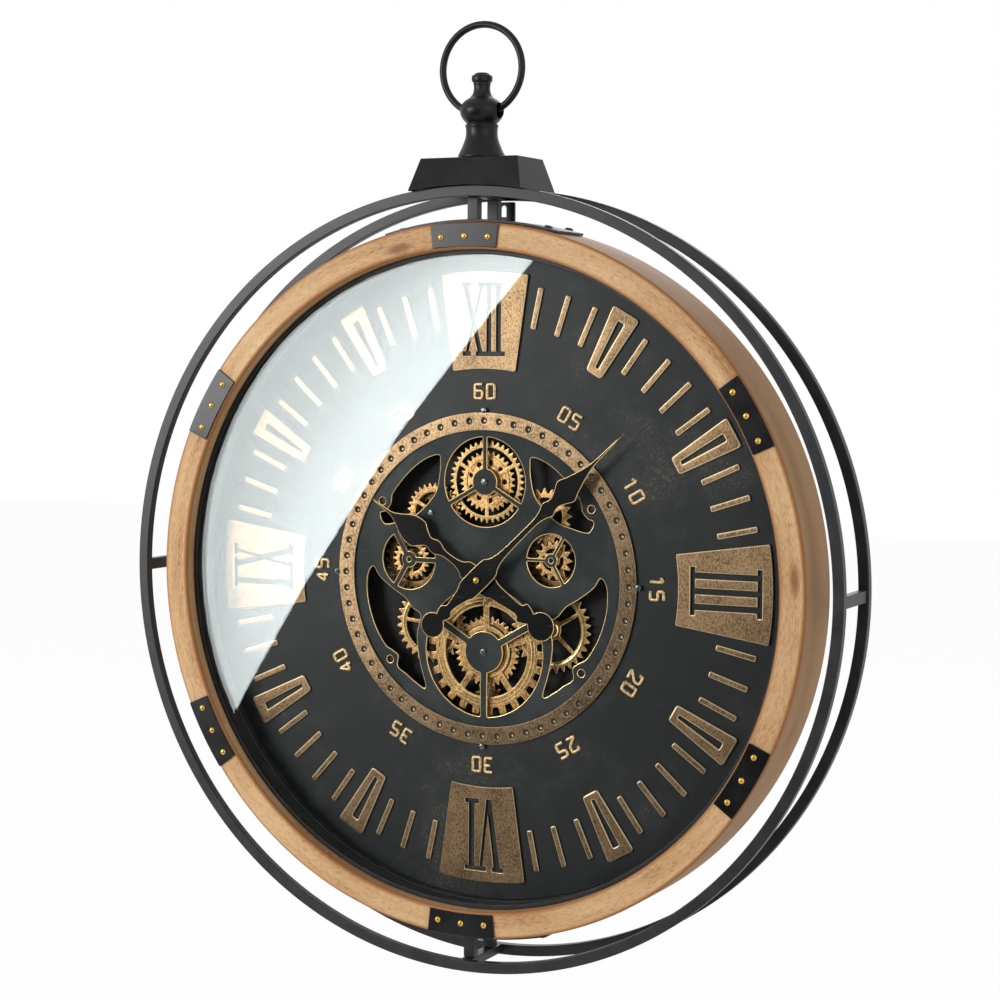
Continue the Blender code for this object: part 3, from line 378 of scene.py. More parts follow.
def dressed(piece, finish, *nodes, body="case", slot=None):
    """The piece takes its finish and its body, and stands for these CAD nodes. The slot argument is not used.
    """
    piece.data.materials.clear()
    piece.data.materials.append(finish.material)
    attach(piece, body)
    if nodes:
        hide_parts(*nodes)


def mottled(name, slot, tones, clouds, step, roughness, skin=None, depth=0.00003, strength=0.5, **sockets):
    """Two tones in soft clouds, which are also duller or brighter, under a fine skin of bumps."""
    finish = Finish(name, slot, **sockets)
    cloud = finish.noise(*clouds)
    finish.set(base_color=finish.mix(*tones, finish.fade(cloud, *step)),
               roughness=roughness[0] + cloud * roughness[1],
               normal=finish.bump(finish.noise(*skin) if skin else cloud, depth, strength))
    return finish


def powder_coat(name, colour, roughness, gloss=0.35, slot="black_steel"):
    """Satin paint baked on steel: a faint mottle in the colour, and a fine skin like an orange's."""
    lighter = tuple(c * 1.45 + 0.004 for c in colour)
    return mottled(name, slot, (colour, lighter), (55.0, 4.0), (0.35, 0.7), (roughness, 0.12), (1900.0, 2.0),
                   0.00002, 0.2, specular_ior_level=gloss)


black_coat = powder_coat("satin_black_coat", paint(29, 30, 32), 0.36)

for name, front, node in (("front_ring_bar", HOOP_FRONT, "front_hoop"),
                          ("rear_ring_bar", WALL - HOOP_DEPTH, "rear_hoop")):
    hoop = flat_ring(HOOP_R, STRUT_INNER, front, front + HOOP_DEPTH, 0.7)
    dressed(laid(name, hoop), black_coat, node)

for side, degrees in (("top", 0), ("right", 90), ("bottom", 180), ("left", 270)):
    strut = bar((-STRUT_WIDTH / 2, STRUT_ENDS[0], STRUT_INNER),
                (STRUT_WIDTH / 2, STRUT_ENDS[1], STRUT_INNER + STRUT_DEPTH))
    for y in STRUT_ENDS:
        weld = flat_ring(WELD_R, WELD_BORE, WELD_HALF, -WELD_HALF, 0.5, turns=24)
        strut = merged(strut, moved(weld, (0, y, STRUT_INNER + STRUT_DEPTH / 2), size=(1, 1, WELD_OVAL)))
    dressed(laid(f"strut_{side}", moved(strut, turn=degrees)), black_coat, f"hoop_strut_{side}")


# Crown. A saddle folded from thin black sheet sits on the hoops, open underneath. A turned black post stands
# on it, and a wire ring swings in the post's cross bore.

CROWN_Y, CROWN_TOP = -7.8, 321.3
FINIAL_BASE = CROWN_TOP + GAP
BORE_R, BORE_HALF, BORE_Z = 6.0, 25.0, 357.3
BAIL_R, BAIL_WIRE_R, BAIL_Z = 33.5, 2.7, 388.9


def eased_edges(shape, edges, width, segments=2):
    bmesh.ops.bevel(shape, geom=edges, offset=width, segments=segments, profile=0.5, affect="EDGES",
                    clamp_overlap=True)


def simplified(shape, distance, degrees):
    """The shape with its doubles merged, and each flat face in one piece."""
    bmesh.ops.remove_doubles(shape, verts=shape.verts, dist=distance)
    bmesh.ops.dissolve_limit(shape, angle_limit=math.radians(degrees), verts=shape.verts, edges=shape.edges)
    return shape


def eased(name, node, edge, segments=2):
    """A piece with its CAD node's shape, and its sharp edges rounded."""
    shape = simplified(shaped(frame["nodes"][node].data), 2e-6, 0.3)
    sharp = [e for e in shape.edges if e.is_manifold and e.calc_face_angle(0) > math.radians(28)]
    eased_edges(shape, sharp, edge * MM, segments)
    return soft(linked(name, meshed(shape, name)))


def carved(piece, tool):
    """The piece with the tool taken out of it."""
    step = piece.modifiers.new("carving", "BOOLEAN")
    step.operation, step.solver, step.object = "DIFFERENCE", "EXACT", tool
    settled(piece)
    bpy.data.objects.remove(tool)
    return piece


def flowing(points, steps=6, closed=True):
    """A smooth curve through the points."""
    count = len(points)
    made = []
    for i in range(count if closed else count - 1):
        a, b, c, d = (Vector(points[k % count]) if closed else Vector(points[max(0, min(k, count - 1))])
                      for k in (i - 1, i, i + 1, i + 2))
        for k in range(steps):
            t = k / steps
            made.append(tuple(0.5 * (2 * b + (c - a) * t + (2 * a - 5 * b + 4 * c - d) * t ** 2
                                     + (3 * b - a - 3 * c + d) * t ** 3)))
    return made if closed else made + [tuple(points[-1])]


crown_coat = powder_coat("crown_black_coat", paint(11, 11, 12), 0.3, gloss=0.22)
dressed(eased("crown_saddle", "crown_box", 0.45), crown_coat, "crown_box")

knob = flowing([(0.0, 64.8), (3.6, 64.6), (5.4, 63.9), (6.3, 62.7)], 4, False)
knob += flowing([(7.3, 62.5), (7.9, 61.6), (7.9, 58.8), (7.4, 57.6)], 3, False) + [(6.7, 57.1), (6.5, 56.6)]
ball = flowing([(6.7, 56.0), (6.3, 54.6), (6.2, 52.5), (6.6, 50.0), (7.5, 47.9), (9.4, 45.9), (12.4, 43.8),
                (14.9, 41.3), (16.3, 38.8), (16.8, 36.2), (16.3, 33.0), (14.8, 30.0), (13.0, 27.8),
                (11.9, 26.7)], 5, False)
foot = [(11.6, 26.2), (11.8, 25.8), (12.5, 25.4), (12.7, 24.8)]
foot += flowing([(12.6, 24.2), (12.1, 21.5), (12.2, 17.0), (13.3, 12.8), (15.2, 8.0), (17.2, 3.8)], 4, False)
foot += [(18.0, 2.2), (18.1, 1.2), (18.0, 0.4), (17.6, 0.0), (0.0, 0.0)]
post = turned([(radius, FINIAL_BASE + rise) for radius, rise in knob + ball + foot], 128, "Z")
bore = turned([(0, -BORE_HALF), (BORE_R, -BORE_HALF), (BORE_R, BORE_HALF), (0, BORE_HALF)], 64, "X")
post = carved(laid("crown_post", post, (0, CROWN_Y, 0)), laid("bore", moved(bore, (0, CROWN_Y, BORE_Z))))
dressed(soft(post), crown_coat, "finial")

wire = lathe([(BAIL_R + BAIL_WIRE_R * math.cos(math.tau * k / 20), BAIL_WIRE_R * math.sin(math.tau * k / 20))
              for k in range(20)], 160)
dressed(laid("hanging_ring", wire, (0, CROWN_Y, BAIL_Z)), crown_coat, "bail_ring", body="bail")


# Brackets. Curved straps screwed to the wooden ring's outer wall at top and bottom, with posts welded to the
# struts, and a keyhole plate at the back of the top strap. They are black steel like the hoops.

WOOD_R, WOOD_BORE, WOOD_FRONT, WOOD_REAR = 272.6, 252.4, -34.8, 19.2
STRAP_BORE, STRAP_FRONT = WOOD_R + GAP, -27.0
STRAP_R = STRAP_BORE + 2.0
STRAP_REACH = {"top": 15.5, "bottom": 14.5}  # degrees each way
POST_HALF, POST_HALF_DEPTH, POSTS_Y = 4.5, 3.5, (-19.0, 14.0)
SCREWS_Y, SCREW_X = (-19.0, 17.5), 62.0
HANGER_HALF, HANGER_HEAD, HANGER_THICK, SLOT_HALF = 9.5, STRUT_INNER - 0.9, 2.5, 2.5


def spun(radius, turn, centre=(0, 0)):
    """A point on a circle; the turn is in radians from +x towards +z."""
    return (centre[0] + radius * math.cos(turn), centre[1] + radius * math.sin(turn))


def arc(radius, start, end, count, centre=(0, 0)):
    """Points on an arc; start and end are degrees from +x towards +z."""
    return [spun(radius, math.radians(start + (end - start) * i / count), centre) for i in range(count + 1)]


def circle(radius, count=64, centre=(0, 0)):
    return arc(radius, 0, 360, count, centre)[:-1]


def upright(foot, head, half, half_head=None):
    """The four corners of an outline about x = 0, which may be wider at its head."""
    half_head = half_head or half
    return [(-half, foot), (half, foot), (half_head, head), (-half_head, head)]


def drawn(paths, closed, middle=0.0, **settings):
    """The mesh of a curve that is drawn along paths in (x, z), at a depth."""
    drawing = bpy.data.curves.new("drawing", "CURVE")
    for name, setting in settings.items():
        setattr(drawing, name, setting)
    for path in paths:
        line = drawing.splines.new("POLY")
        line.points.add(len(path) - 1)
        line.points.foreach_set("co", [c for x, z in path for c in (x, z, 0.0, 1.0)])
        line.use_cyclic_u = closed
    piece = linked("drawing", drawing)
    mesh = plain_mesh(piece)
    bpy.data.objects.remove(piece)
    mesh.transform(Matrix.Translation((0, middle, 0)) @ Matrix.Rotation(math.pi / 2, 4, "X"))
    return mesh


def cut_sheet(loops, front, rear, edge=0.3, steps=1, lean=1.0):
    """Sheet cut to an outline, with its holes. Its edges are eased, as deep as lean times their width."""
    middle, flank = (front + rear) / 2, (rear - front) / 2 - edge * lean
    mesh = drawn(loops, True, middle, dimensions="2D", fill_mode="BOTH", extrude=flank, bevel_depth=edge,
                 offset=-edge, bevel_resolution=steps)
    for corner in mesh.vertices:
        deep = corner.co.y - middle
        if abs(deep) > flank:
            corner.co.y = middle + math.copysign(flank + (abs(deep) - flank) * lean, deep)
    return cleaned(shaped(mesh), 0.002)


for side, reach in STRAP_REACH.items():
    half_turn = 0 if side == "top" else 180
    outline = arc(STRAP_R, 90 - reach, 90 + reach, 32) + arc(STRAP_BORE, 90 + reach, 90 - reach, 32)
    bracket = cut_sheet([outline], STRAP_FRONT, WOOD_REAR, 0.35)
    for y in POSTS_Y:
        bracket = merged(bracket, bar((-POST_HALF, y - POST_HALF_DEPTH, STRAP_R - 0.4),
                                      (POST_HALF, y + POST_HALF_DEPTH, STRUT_INNER - 0.3)))
    for y in SCREWS_Y:
        for x in (-SCREW_X, SCREW_X):
            screw = turned([(0, 1.7), (1.6, 1.6), (2.9, 1.0), (3.4, 0.2), (3.4, -0.4), (0, -0.4)], 32, "Z")
            bracket = merged(bracket, moved(screw, (0, y, STRAP_R), math.degrees(math.asin(x / STRAP_R))))
    if side == "top":
        bracket = merged(bracket, bar((-HANGER_HALF, WOOD_REAR - 3, STRAP_BORE + 0.3),
                                      (HANGER_HALF, WALL, STRAP_R - 0.4), 0.3))
    dressed(laid(f"{side}_strap", moved(bracket, turn=half_turn)), black_coat, f"{side}_bracket")
plate = rounded(upright(STRAP_R, HANGER_HEAD, HANGER_HALF), 1.2)
keyhole = [(-SLOT_HALF, STRAP_R + 4.5), (SLOT_HALF, STRAP_R + 4.5),
           *arc(SLOT_HALF, 0, 180, 12, (0, HANGER_HEAD - 2.4 - SLOT_HALF))]
plate = cut_sheet([plate, keyhole], WALL - HANGER_THICK, WALL)
dressed(laid("keyhole_plate", plate), black_coat, "hanger_plate")


# Wooden ring. Six curved lengths of solid wood are glued end to end, turned round, oiled, and burnished along
# their corners. Their joints lie under the black plates.

WOOD_EDGES = [0.8, 2.6, 2.6, 0.8]
STICKS = 6


def grained_wood():
    """Oiled pine or fir: soft bands along the ring, fine pores, a few knots, burnished corners, and an outer
    wall painted darker as painted shade.
    """
    wood = Finish("oiled_wood_grain", "oiled_wood", specular_ior_level=0.2)
    offset = wood.node("ShaderNodeVectorMath", {"operation": "SUBTRACT"},
                       {0: wood.place, 1: tuple(DIAL_PLACE)})
    x, depth, z = (wood.part(offset, axis) for axis in "XYZ")
    angle, radius = wood.maths("ARCTAN2", x, z), wood.maths("SQRT", x * x + z * z)
    stick = wood.maths("FLOOR", angle / (math.tau / STICKS))
    along = angle * 0.262 + stick * 0.73
    bands = wood.noise(1.0, 3.0, 0.5, wood.vector(along * 7.0, radius * 95.0 + stick * 3.1, depth * 60.0))
    pores = wood.noise(1.0, 4.0, 0.6, wood.vector(along * 210.0, radius * 1300.0, depth * 1300.0))
    cloud = wood.noise(14.0, 3.0)
    tones = ((0.36, paint(152, 108, 68)), (0.46, paint(192, 150, 106)), (0.56, paint(207, 169, 124)),
             (0.68, paint(222, 191, 152)))
    colour = wood.node("ShaderNodeValToRGB", {"stops": tones}, {0: bands * 0.42 + pores * 0.38 + cloud * 0.2})
    colour = wood.mix(colour, paint(128, 88, 56), (1 - wood.fade(pores, 0.34, 0.42)) * 0.4)
    knots = wood.node("ShaderNodeTexVoronoi", {"feature": "F1"},
                      {"Vector": wood.vector(along * 11.0, radius * 36.0, depth * 30.0), "Scale": 1.0,
                       "Randomness": 1.0})
    colour = wood.mix(colour, paint(112, 70, 38), (1 - wood.fade(knots, 0.05, 0.2)) * 0.75)
    burnish = wood.fade(abs(radius - 0.2625), 0.0066, 0.0092) * (1 - wood.fade(depth, -0.0335, -0.0305))
    colour = wood.mix(colour, paint(158, 98, 50), burnish * 0.8)
    # painted shade: the outer wall, which faces sideways, is painted a darker brown
    outer = wood.fade(radius, 0.2716, 0.2724) * wood.turned_away(0.5, 0.25)
    colour = wood.mix(colour, paint(170, 127, 84), outer * 0.7)
    wood.set(base_color=colour, roughness=0.46 + pores * 0.16,
             normal=wood.bump(pores * 0.6 + bands * 0.4, 0.00025, 0.6))
    return wood


wooden_ring = flat_ring(WOOD_R, WOOD_BORE, WOOD_FRONT, WOOD_REAR, WOOD_EDGES, 5, 360)
dressed(laid("wooden_ring", wooden_ring), grained_wood(), "wood_ring")


# Corner plates. Six curved plates of thin black sheet cover the ring's joints, each held by three brass nails
# with domed heads.

PLATE_INNER, PLATE_OUTER, PLATE_HALF = 253.9, 271.8, 6.05
PLATE_THICK, PLATE_REAR = 1.2, WOOD_FRONT - GAP
PLATE_FRONT = PLATE_REAR - PLATE_THICK
NAIL_RING, NAIL_SPACING = (PLATE_INNER + PLATE_OUTER) / 2 - 1, 4.33
NAIL_HEAD = [(0, -1.6), (1.0, -1.5), (1.8, -1.12), (2.3, -0.62), (2.5, -0.1), (2.4, 0.25), (0, 0.25)]


def two_sided(first, second, corner, steps=3):
    """An outline along two lines of points, with only its four corners rounded."""
    corners = (0, len(first) - 1, len(first), len(first) + len(second) - 1)
    outline = first + second
    return rounded(outline, [corner if i in corners else 0 for i in range(len(outline))], steps)


stamped_coat = powder_coat("stamped_plate_coat", paint(5, 5, 6), 0.24, gloss=0.32)
for number in range(6):
    middle, hour = 90 - number * 60, number * 2 or 12
    outline = two_sided(arc(PLATE_OUTER, middle - PLATE_HALF, middle + PLATE_HALF, 24),
                        arc(PLATE_INNER, middle + PLATE_HALF, middle - PLATE_HALF, 24), 0.9)
    dressed(laid(f"joint_plate_{hour:02d}", cut_sheet([outline], PLATE_FRONT, PLATE_REAR)), stamped_coat,
            f"corner_plate_{hour:02d}")


class Pattern(Nodes):
    """A Geometry Nodes tree with named inputs, whose copies end as one plain mesh."""

    def __init__(self, name, **inputs):
        super().__init__(bpy.data.node_groups.new(name, "GeometryNodeTree"))
        self.new_socket("Geometry", "Geometry")
        self.keys = {key: self.new_socket(key, kind).identifier for key, kind in inputs.items()}
        self.new_socket("Geometry", "Geometry", "OUTPUT")
        entry = self.tree.nodes.new("NodeGroupInput")
        self.given = {key: Wire(self, entry.outputs[key]) for key in inputs}

    def new_socket(self, key, kind, side="INPUT"):
        return self.tree.interface.new_socket(key, in_out=side, socket_type=f"NodeSocket{kind}")

    def ends_with(self, geometry, finish):
        plain = self.node("GeometryNodeRealizeInstances", None, {"Geometry": geometry})
        plain = self.node("GeometryNodeSetMaterial", None, {"Geometry": plain, "Material": finish})
        self.node("NodeGroupOutput", None, {"Geometry": plain})

    def grown(self, name, **values):
        """A plain mesh made by the tree from these values."""
        piece = linked(name, bpy.data.meshes.new(name))
        grower = piece.modifiers.new("pattern", "NODES")
        grower.node_group = self.tree
        for key, value in values.items():
            grower[self.keys[key]] = value
        mesh = plain_mesh(piece)
        bpy.data.objects.remove(piece)
        return mesh


def round_the_dial():
    """Copies at First, First + Step, ... on a ring. Every Leave Out-th copy is left out, and so is each one
    that is no more than Clear By from a multiple of Clear Of."""
    tree = Pattern("round_the_dial", **{"Count": "Int", "Radius": "Float", "First": "Float", "Step": "Float",
                                        "Leave Out": "Float", "Clear Of": "Float", "Clear By": "Float",
                                        "Shape": "Object", "Finish": "Material"})
    given = tree.given
    number = tree.node("GeometryNodeInputIndex")
    angle = (given["First"] + given["Step"] * number) * (math.pi / 180)
    out = (number % given["Leave Out"] < 0.5) * (given["Leave Out"] > 0.5)
    rest = number % given["Clear Of"]
    near = (rest.least(given["Clear Of"] - rest) < given["Clear By"] + 0.5) * (given["Clear Of"] > 0.5)
    place = tree.vector(tree.maths("SINE", angle) * given["Radius"], 0.0,
                        tree.maths("COSINE", angle) * given["Radius"])
    points = tree.node("GeometryNodePoints", None, {"Count": given["Count"], "Position": place})
    shape = tree.node("GeometryNodeObjectInfo", None, {"Object": given["Shape"]}, output="Geometry")
    copies = tree.node("GeometryNodeInstanceOnPoints", None,
                       {"Points": points, "Selection": 1 - out.most(near), "Instance": shape,
                        "Rotation": tree.vector(0.0, angle, 0.0)})
    tree.ends_with(copies, given["Finish"])
    return tree


ring_pattern = round_the_dial()


def ringed(name, shape, finish, count, radius, first=0.0, depth=0.0, leave_out=0.0, clear_of=0.0,
           clear_by=0.0):
    """Copies of a shape at even steps round the dial, as one piece of the case."""
    model = linked("shape", meshed(shape))
    mesh = ring_pattern.grown(name, **{"Count": count, "Radius": float(radius), "First": first,
                                       "Step": 360 / count, "Leave Out": leave_out, "Clear Of": clear_of,
                                       "Clear By": clear_by, "Shape": model, "Finish": finish.material})
    bpy.data.objects.remove(model)
    dressed(laid(name, shaped(mesh), (0, depth, 0)), finish)


# bright brass with fine turning marks and a little tarnish
brass = mottled("polished_brass", "nail_brass", (paint(214, 172, 84), paint(150, 108, 42)), (420.0, 4.0),
                (0.45, 0.8), (0.2, 0.18), (2600.0, 2.0), 0.00004, 0.4, metallic=1.0)
for column, name in enumerate(("left", "middle", "right"), -1):
    ringed(f"plate_nails_{name}", turned(NAIL_HEAD, 28), brass, 6, NAIL_RING, column * NAIL_SPACING,
           PLATE_FRONT)


# Case. A black drum lines the wooden ring's bore. A flat glass lies at its front under a thin black bezel,
# and a painted fibreboard panel closes the back.

DRUM_R = WOOD_BORE - GAP
DRUM_BORE = DRUM_R - 2.5
GROOVE_R = DRUM_BORE + 0.7
GLASS_FRONT, GLASS_THICK = -22.6, 3.0
GLASS_REAR = GLASS_FRONT + GLASS_THICK
DRUM_FRONT = GLASS_REAR + GAP
BEZEL_BORE, BEZEL_THICK = DRUM_R - 3.4, 1.7
BEZEL_REAR = GLASS_FRONT - GAP
BEZEL_FRONT = BEZEL_REAR - BEZEL_THICK
BACK_FRONT, BACK_THICK, BACK_OPENING = 15.5, 3.0, 112.0
BACK_SCREWS, BACK_SCREW_RING = 8, 240.0
DRUM_REAR = BACK_FRONT - GAP
GLASS_MIRROR = 0.02  # at each face
CARD_Y = -0.75
# the card's edge as the pane mirrors it, from above twelve to below eight, in (x, z) on the dial
CARD_EDGE = [(110.0, 313.0), (48.6, 242.3), (-6.7, 180.0), (-62.0, 114.3), (-107.0, 50.5), (-152.3, -14.6),
             (-204.2, -98.4), (-218.6, -123.9), (-262.0, -200.0)]
CARD_LEFT, FLAG_RIGHT, FLAG_FOOT = -330.0, 420.0, -420.0
# the glare's place along that edge, and its reach along and across it, as shares of the edge's length
GLARE_MIDDLE, GLARE_REACH = 0.45, (0.44, 0.17)
CARD_SHINE, GLARE_SHINE = 0.58, 0.30


def moulded_plastic():
    """Black moulded plastic with a fine spark-eroded texture."""
    plastic = Finish("black_moulded_plastic", "black_plastic", specular_ior_level=0.4)
    grain = plastic.noise(2400.0, 2.0)
    tone = plastic.mix(paint(22, 22, 24), paint(38, 38, 40), plastic.fade(plastic.noise(90.0), 0.35, 0.7))
    plastic.set(base_color=tone, roughness=0.42 + grain * 0.2, normal=plastic.bump(grain, 0.00008, 0.6))
    return plastic


def window_glass():
    """Clear float glass: nearly all light goes through, and a little is mirrored. Its rim is greener."""
    glass = Finish("clear_flat_glass", "clear_glass", base_color=(0.97, 1.0, 1.0), roughness=0.0,
                   metallic=1.0)
    clear = glass.node("ShaderNodeBsdfTransparent", None, {"Color": (0.985, 0.995, 0.99)})
    glass.shows_mix(GLASS_MIRROR + glass.turned_away(0.9, 0.6) * 0.3, clear, glass.shader)
    return glass


def mirrored_place(x, z):
    """Where a card at CARD_Y must reach for the pane to show it to the camera at (x, z) on the dial."""
    pane_y = DIAL_PLACE.y + GLASS_FRONT * MM
    mirrored_eye_y = 2 * pane_y - EYE[1]
    reach = (mirrored_eye_y - CARD_Y) / (mirrored_eye_y - pane_y)
    return Vector((EYE[0] + (x * MM - EYE[0]) * reach, CARD_Y,
                   EYE[2] + (z * MM + DIAL_PLACE.z - EYE[2]) * reach))


def mirrored_sheet(name, outline, finish):
    """A sheet of the stage that only mirrors show, at this outline on the pane."""
    sheet = flat_stage(name, [mirrored_place(x, z) for x, z in outline], finish)
    sheet.visible_camera = sheet.visible_diffuse = sheet.visible_transmission = sheet.visible_shadow = False
    return sheet


def glaring_card():
    """A white glow that hides nothing behind it, brightest in an oval near the middle of the card's edge."""
    light = Finish("bright_card")
    start = mirrored_place(*CARD_EDGE[0])
    edge = mirrored_place(*CARD_EDGE[-1]) - start
    across, middle = Vector((edge.z, 0.0, -edge.x)), start + edge * GLARE_MIDDLE
    along, away = (light.node("ShaderNodeVectorMath", {"operation": "DOT_PRODUCT"},
                              {0: light.place, 1: tuple(line)}, output="Value") - middle.dot(line)
                   for line in (edge / edge.length_squared / GLARE_REACH[0],
                                across / edge.length_squared / GLARE_REACH[1]))
    glare = CARD_SHINE + (1 - light.fade(along * along + away * away, 0.0, 1.0)) * GLARE_SHINE
    shine = light.node("ShaderNodeEmission", None,
                       {"Color": (0.95, 1.0, 1.0), "Strength": glare * (0.5 / GLASS_MIRROR)})
    clear = light.node("ShaderNodeBsdfTransparent")
    light.put(light.tree.nodes["Material Output"].inputs["Surface"],
              light.node("ShaderNodeAddShader", None, {0: clear, 1: shine}))
    return light


black_plastic = moulded_plastic()
bezel = flat_ring(DRUM_R, BEZEL_BORE, BEZEL_FRONT, BEZEL_REAR, 0.5)
dressed(laid("black_bezel", bezel), black_plastic, "bezel_ring")

drum_wall = powder_coat("drum_black_coat", paint(36, 37, 38), 0.5)
section = rounded([(DRUM_R, DRUM_REAR), (DRUM_R, DRUM_FRONT), (DRUM_BORE, DRUM_FRONT), (DRUM_BORE, -8.6),
                   (GROOVE_R, -8.2), (GROOVE_R, -6.8), (DRUM_BORE, -6.4), (DRUM_BORE, DRUM_REAR)], 0.3, 2)
dressed(laid("case_wall", lathe(section)), drum_wall, "case_drum")

section = rounded([(0, GLASS_REAR), (DRUM_R, GLASS_REAR), (DRUM_R, GLASS_FRONT), (0, GLASS_FRONT)],
                  [0, 0.4, 0.4, 0])
pane = laid("flat_glass", turned(section, 256))
dressed(pane, window_glass(), "glass_pane")

# the pane mirrors a bright card at its upper left, a black flag elsewhere, and no lamp
card_light = glaring_card()
card = mirrored_sheet("bright_card", [*CARD_EDGE, (CARD_LEFT, CARD_EDGE[-1][1]),
                                      (CARD_LEFT, CARD_EDGE[0][1])], card_light)
black_cloth = Finish("black_flag", base_color=(0.0, 0.0, 0.0), roughness=1.0, specular_ior_level=0.0)
mirrored_sheet("black_flag", [*CARD_EDGE, (CARD_EDGE[-1][0], FLAG_FOOT), (FLAG_RIGHT, FLAG_FOOT),
                              (FLAG_RIGHT, CARD_EDGE[0][1])], black_cloth)
pane_alone, all_but_pane = (bpy.data.collections.new(name) for name in ("pane_alone", "all_but_pane"))
for group in (pane_alone, all_but_pane):
    group.objects.link(pane)
all_but_pane.collection_objects[0].light_linking.link_state = "EXCLUDE"
card.light_linking.receiver_collection = pane_alone
for lamp in lamps:
    lamp.light_linking.receiver_collection = all_but_pane

board = mottled("painted_fibreboard", "painted_board", (paint(28, 27, 26), paint(58, 54, 50)),
                (900.0, 5.0, 0.7), (0.35, 0.75), (0.72, 0.2), depth=0.0002, specular_ior_level=0.2)
panel = cut_sheet([circle(DRUM_R, 180), circle(BACK_OPENING, 90)], BACK_FRONT, BACK_FRONT + BACK_THICK, 0.4)
dressed(laid("fibreboard_back", panel), board, "back_panel")
steel = mottled("plain_steel", "grey_steel", (paint(158, 159, 160), paint(174, 175, 176)), (700.0, 4.0),
                (0.3, 0.7), (0.32, 0.06), (3000.0, 2.0), metallic=0.9)
screw = turned([(0, 1.6), (1.9, 1.5), (3.2, 0.9), (3.6, 0.1), (3.6, -0.3), (0, -0.3)], 28)
ringed("back_screws", screw, steel, BACK_SCREWS, BACK_SCREW_RING, 180 / BACK_SCREWS, BACK_FRONT + BACK_THICK)


# Dial. A charcoal-painted sheet with a large round opening carries cast bronze marks: a short bar for a
# minute, a slotted plate for an hour, and four broad plates with roman numerals cut through them.

DIAL_R, DIAL_OPENING, DIAL_THICK = 249.3, 118.0, 2.0
CHAPTER_INNER, CHAPTER_OUTER = 115.0, 128.6
MARK_REAR = -GAP / 3
TICK_HALF, TICK_FRONT, BAR_FRONT = 2.2, -1.6, -2.0
NUMERAL_HALVES, NUMERAL_MARGINS = (26.6, 37.2), (9.8, 8.6)  # at the foot and at the head
# a numeral's strokes are its two sides at the foot, then at the head, and its feet and heads are the serifs'
# ends, all across the ray that points outwards through the numeral
NUMERALS = {
    0: {"strokes": ((-5.1, -0.9, -18.7, -14.5), (-16.6, -14.3, -2.8, -0.4), (1.7, 6.0, 1.7, 6.0),
                    (9.8, 14.1, 9.8, 14.1)),
        "feet": ((-18.7, -11.5), (-7.2, 17.7)), "heads": ((-20.0, -11.1), (-6.0, 17.7))},
    3: {"strokes": ((-13.8, -9.4, -13.8, -9.4), (-2.2, 2.2, -2.2, 2.2), (9.4, 13.8, 9.4, 13.8)),
        "feet": ((-17.9, 17.9),), "heads": ((-17.9, 17.9),)},
    6: {"strokes": ((-8.1, -3.6, -16.6, -11.1), (-6.4, -4.0, -0.4, 1.9), (6.4, 11.1, 6.4, 11.1)),
        "feet": ((2.6, 14.5),), "heads": ((-18.7, -9.4), (-3.8, 14.5))},
    9: {"strokes": ((-14.5, -9.8, -14.5, -9.8), (12.4, 17.0, -1.7, 3.0), (0.6, 3.0, 11.9, 14.3)),
        "feet": ((-17.7, 5.5), (9.4, 20.0)), "heads": ((-17.5, 6.0), (8.9, 17.9))},
}
SERIF = 3.5


def banded(*shares):
    """Radii at shares of the way from the chapter ring to the dial's edge."""
    return tuple(CHAPTER_OUTER + (DIAL_R - CHAPTER_OUTER) * share for share in shares)


def slate_coat(name, colour, gold_edges=0.0):
    """Charcoal paint rubbed with gold: faint clouds, pale scuffs, gold dust, and gilt edges if asked."""
    slate = Finish(name, "slate_paint", specular_ior_level=0.1 if gold_edges else 0.3)
    cloud, dust = slate.noise(16.0, 5.0, 0.6), slate.noise(520.0, 4.0, 0.8)
    scuffs = slate.noise(1.0, 4.0, 0.6, slate.stretched((60.0, 60.0, 320.0), 0.7))
    dusty = slate.fade(dust, 0.5, 0.7) * slate.fade(cloud, 0.52, 0.68) * (0.12 if gold_edges else 0.42)
    gilt = slate.turned_away(0.998, 0.95) * gold_edges
    tone = slate.mix(colour, tuple(c * 1.9 + 0.006 for c in colour), slate.fade(cloud, 0.4, 0.72) * 0.8)
    tone = slate.mix(tone, paint(150, 126, 84), dusty)
    tone = slate.mix(tone, paint(112, 112, 108), slate.fade(scuffs, 0.66, 0.8) * 0.25)
    tone = slate.mix(tone, paint(250, 214, 150), gilt)
    slate.set(base_color=tone, metallic=gilt * 0.9, roughness=0.4 + dust * 0.1 - gilt * 0.2,
              normal=slate.bump(dust, 0.00001, 0.2))
    return slate


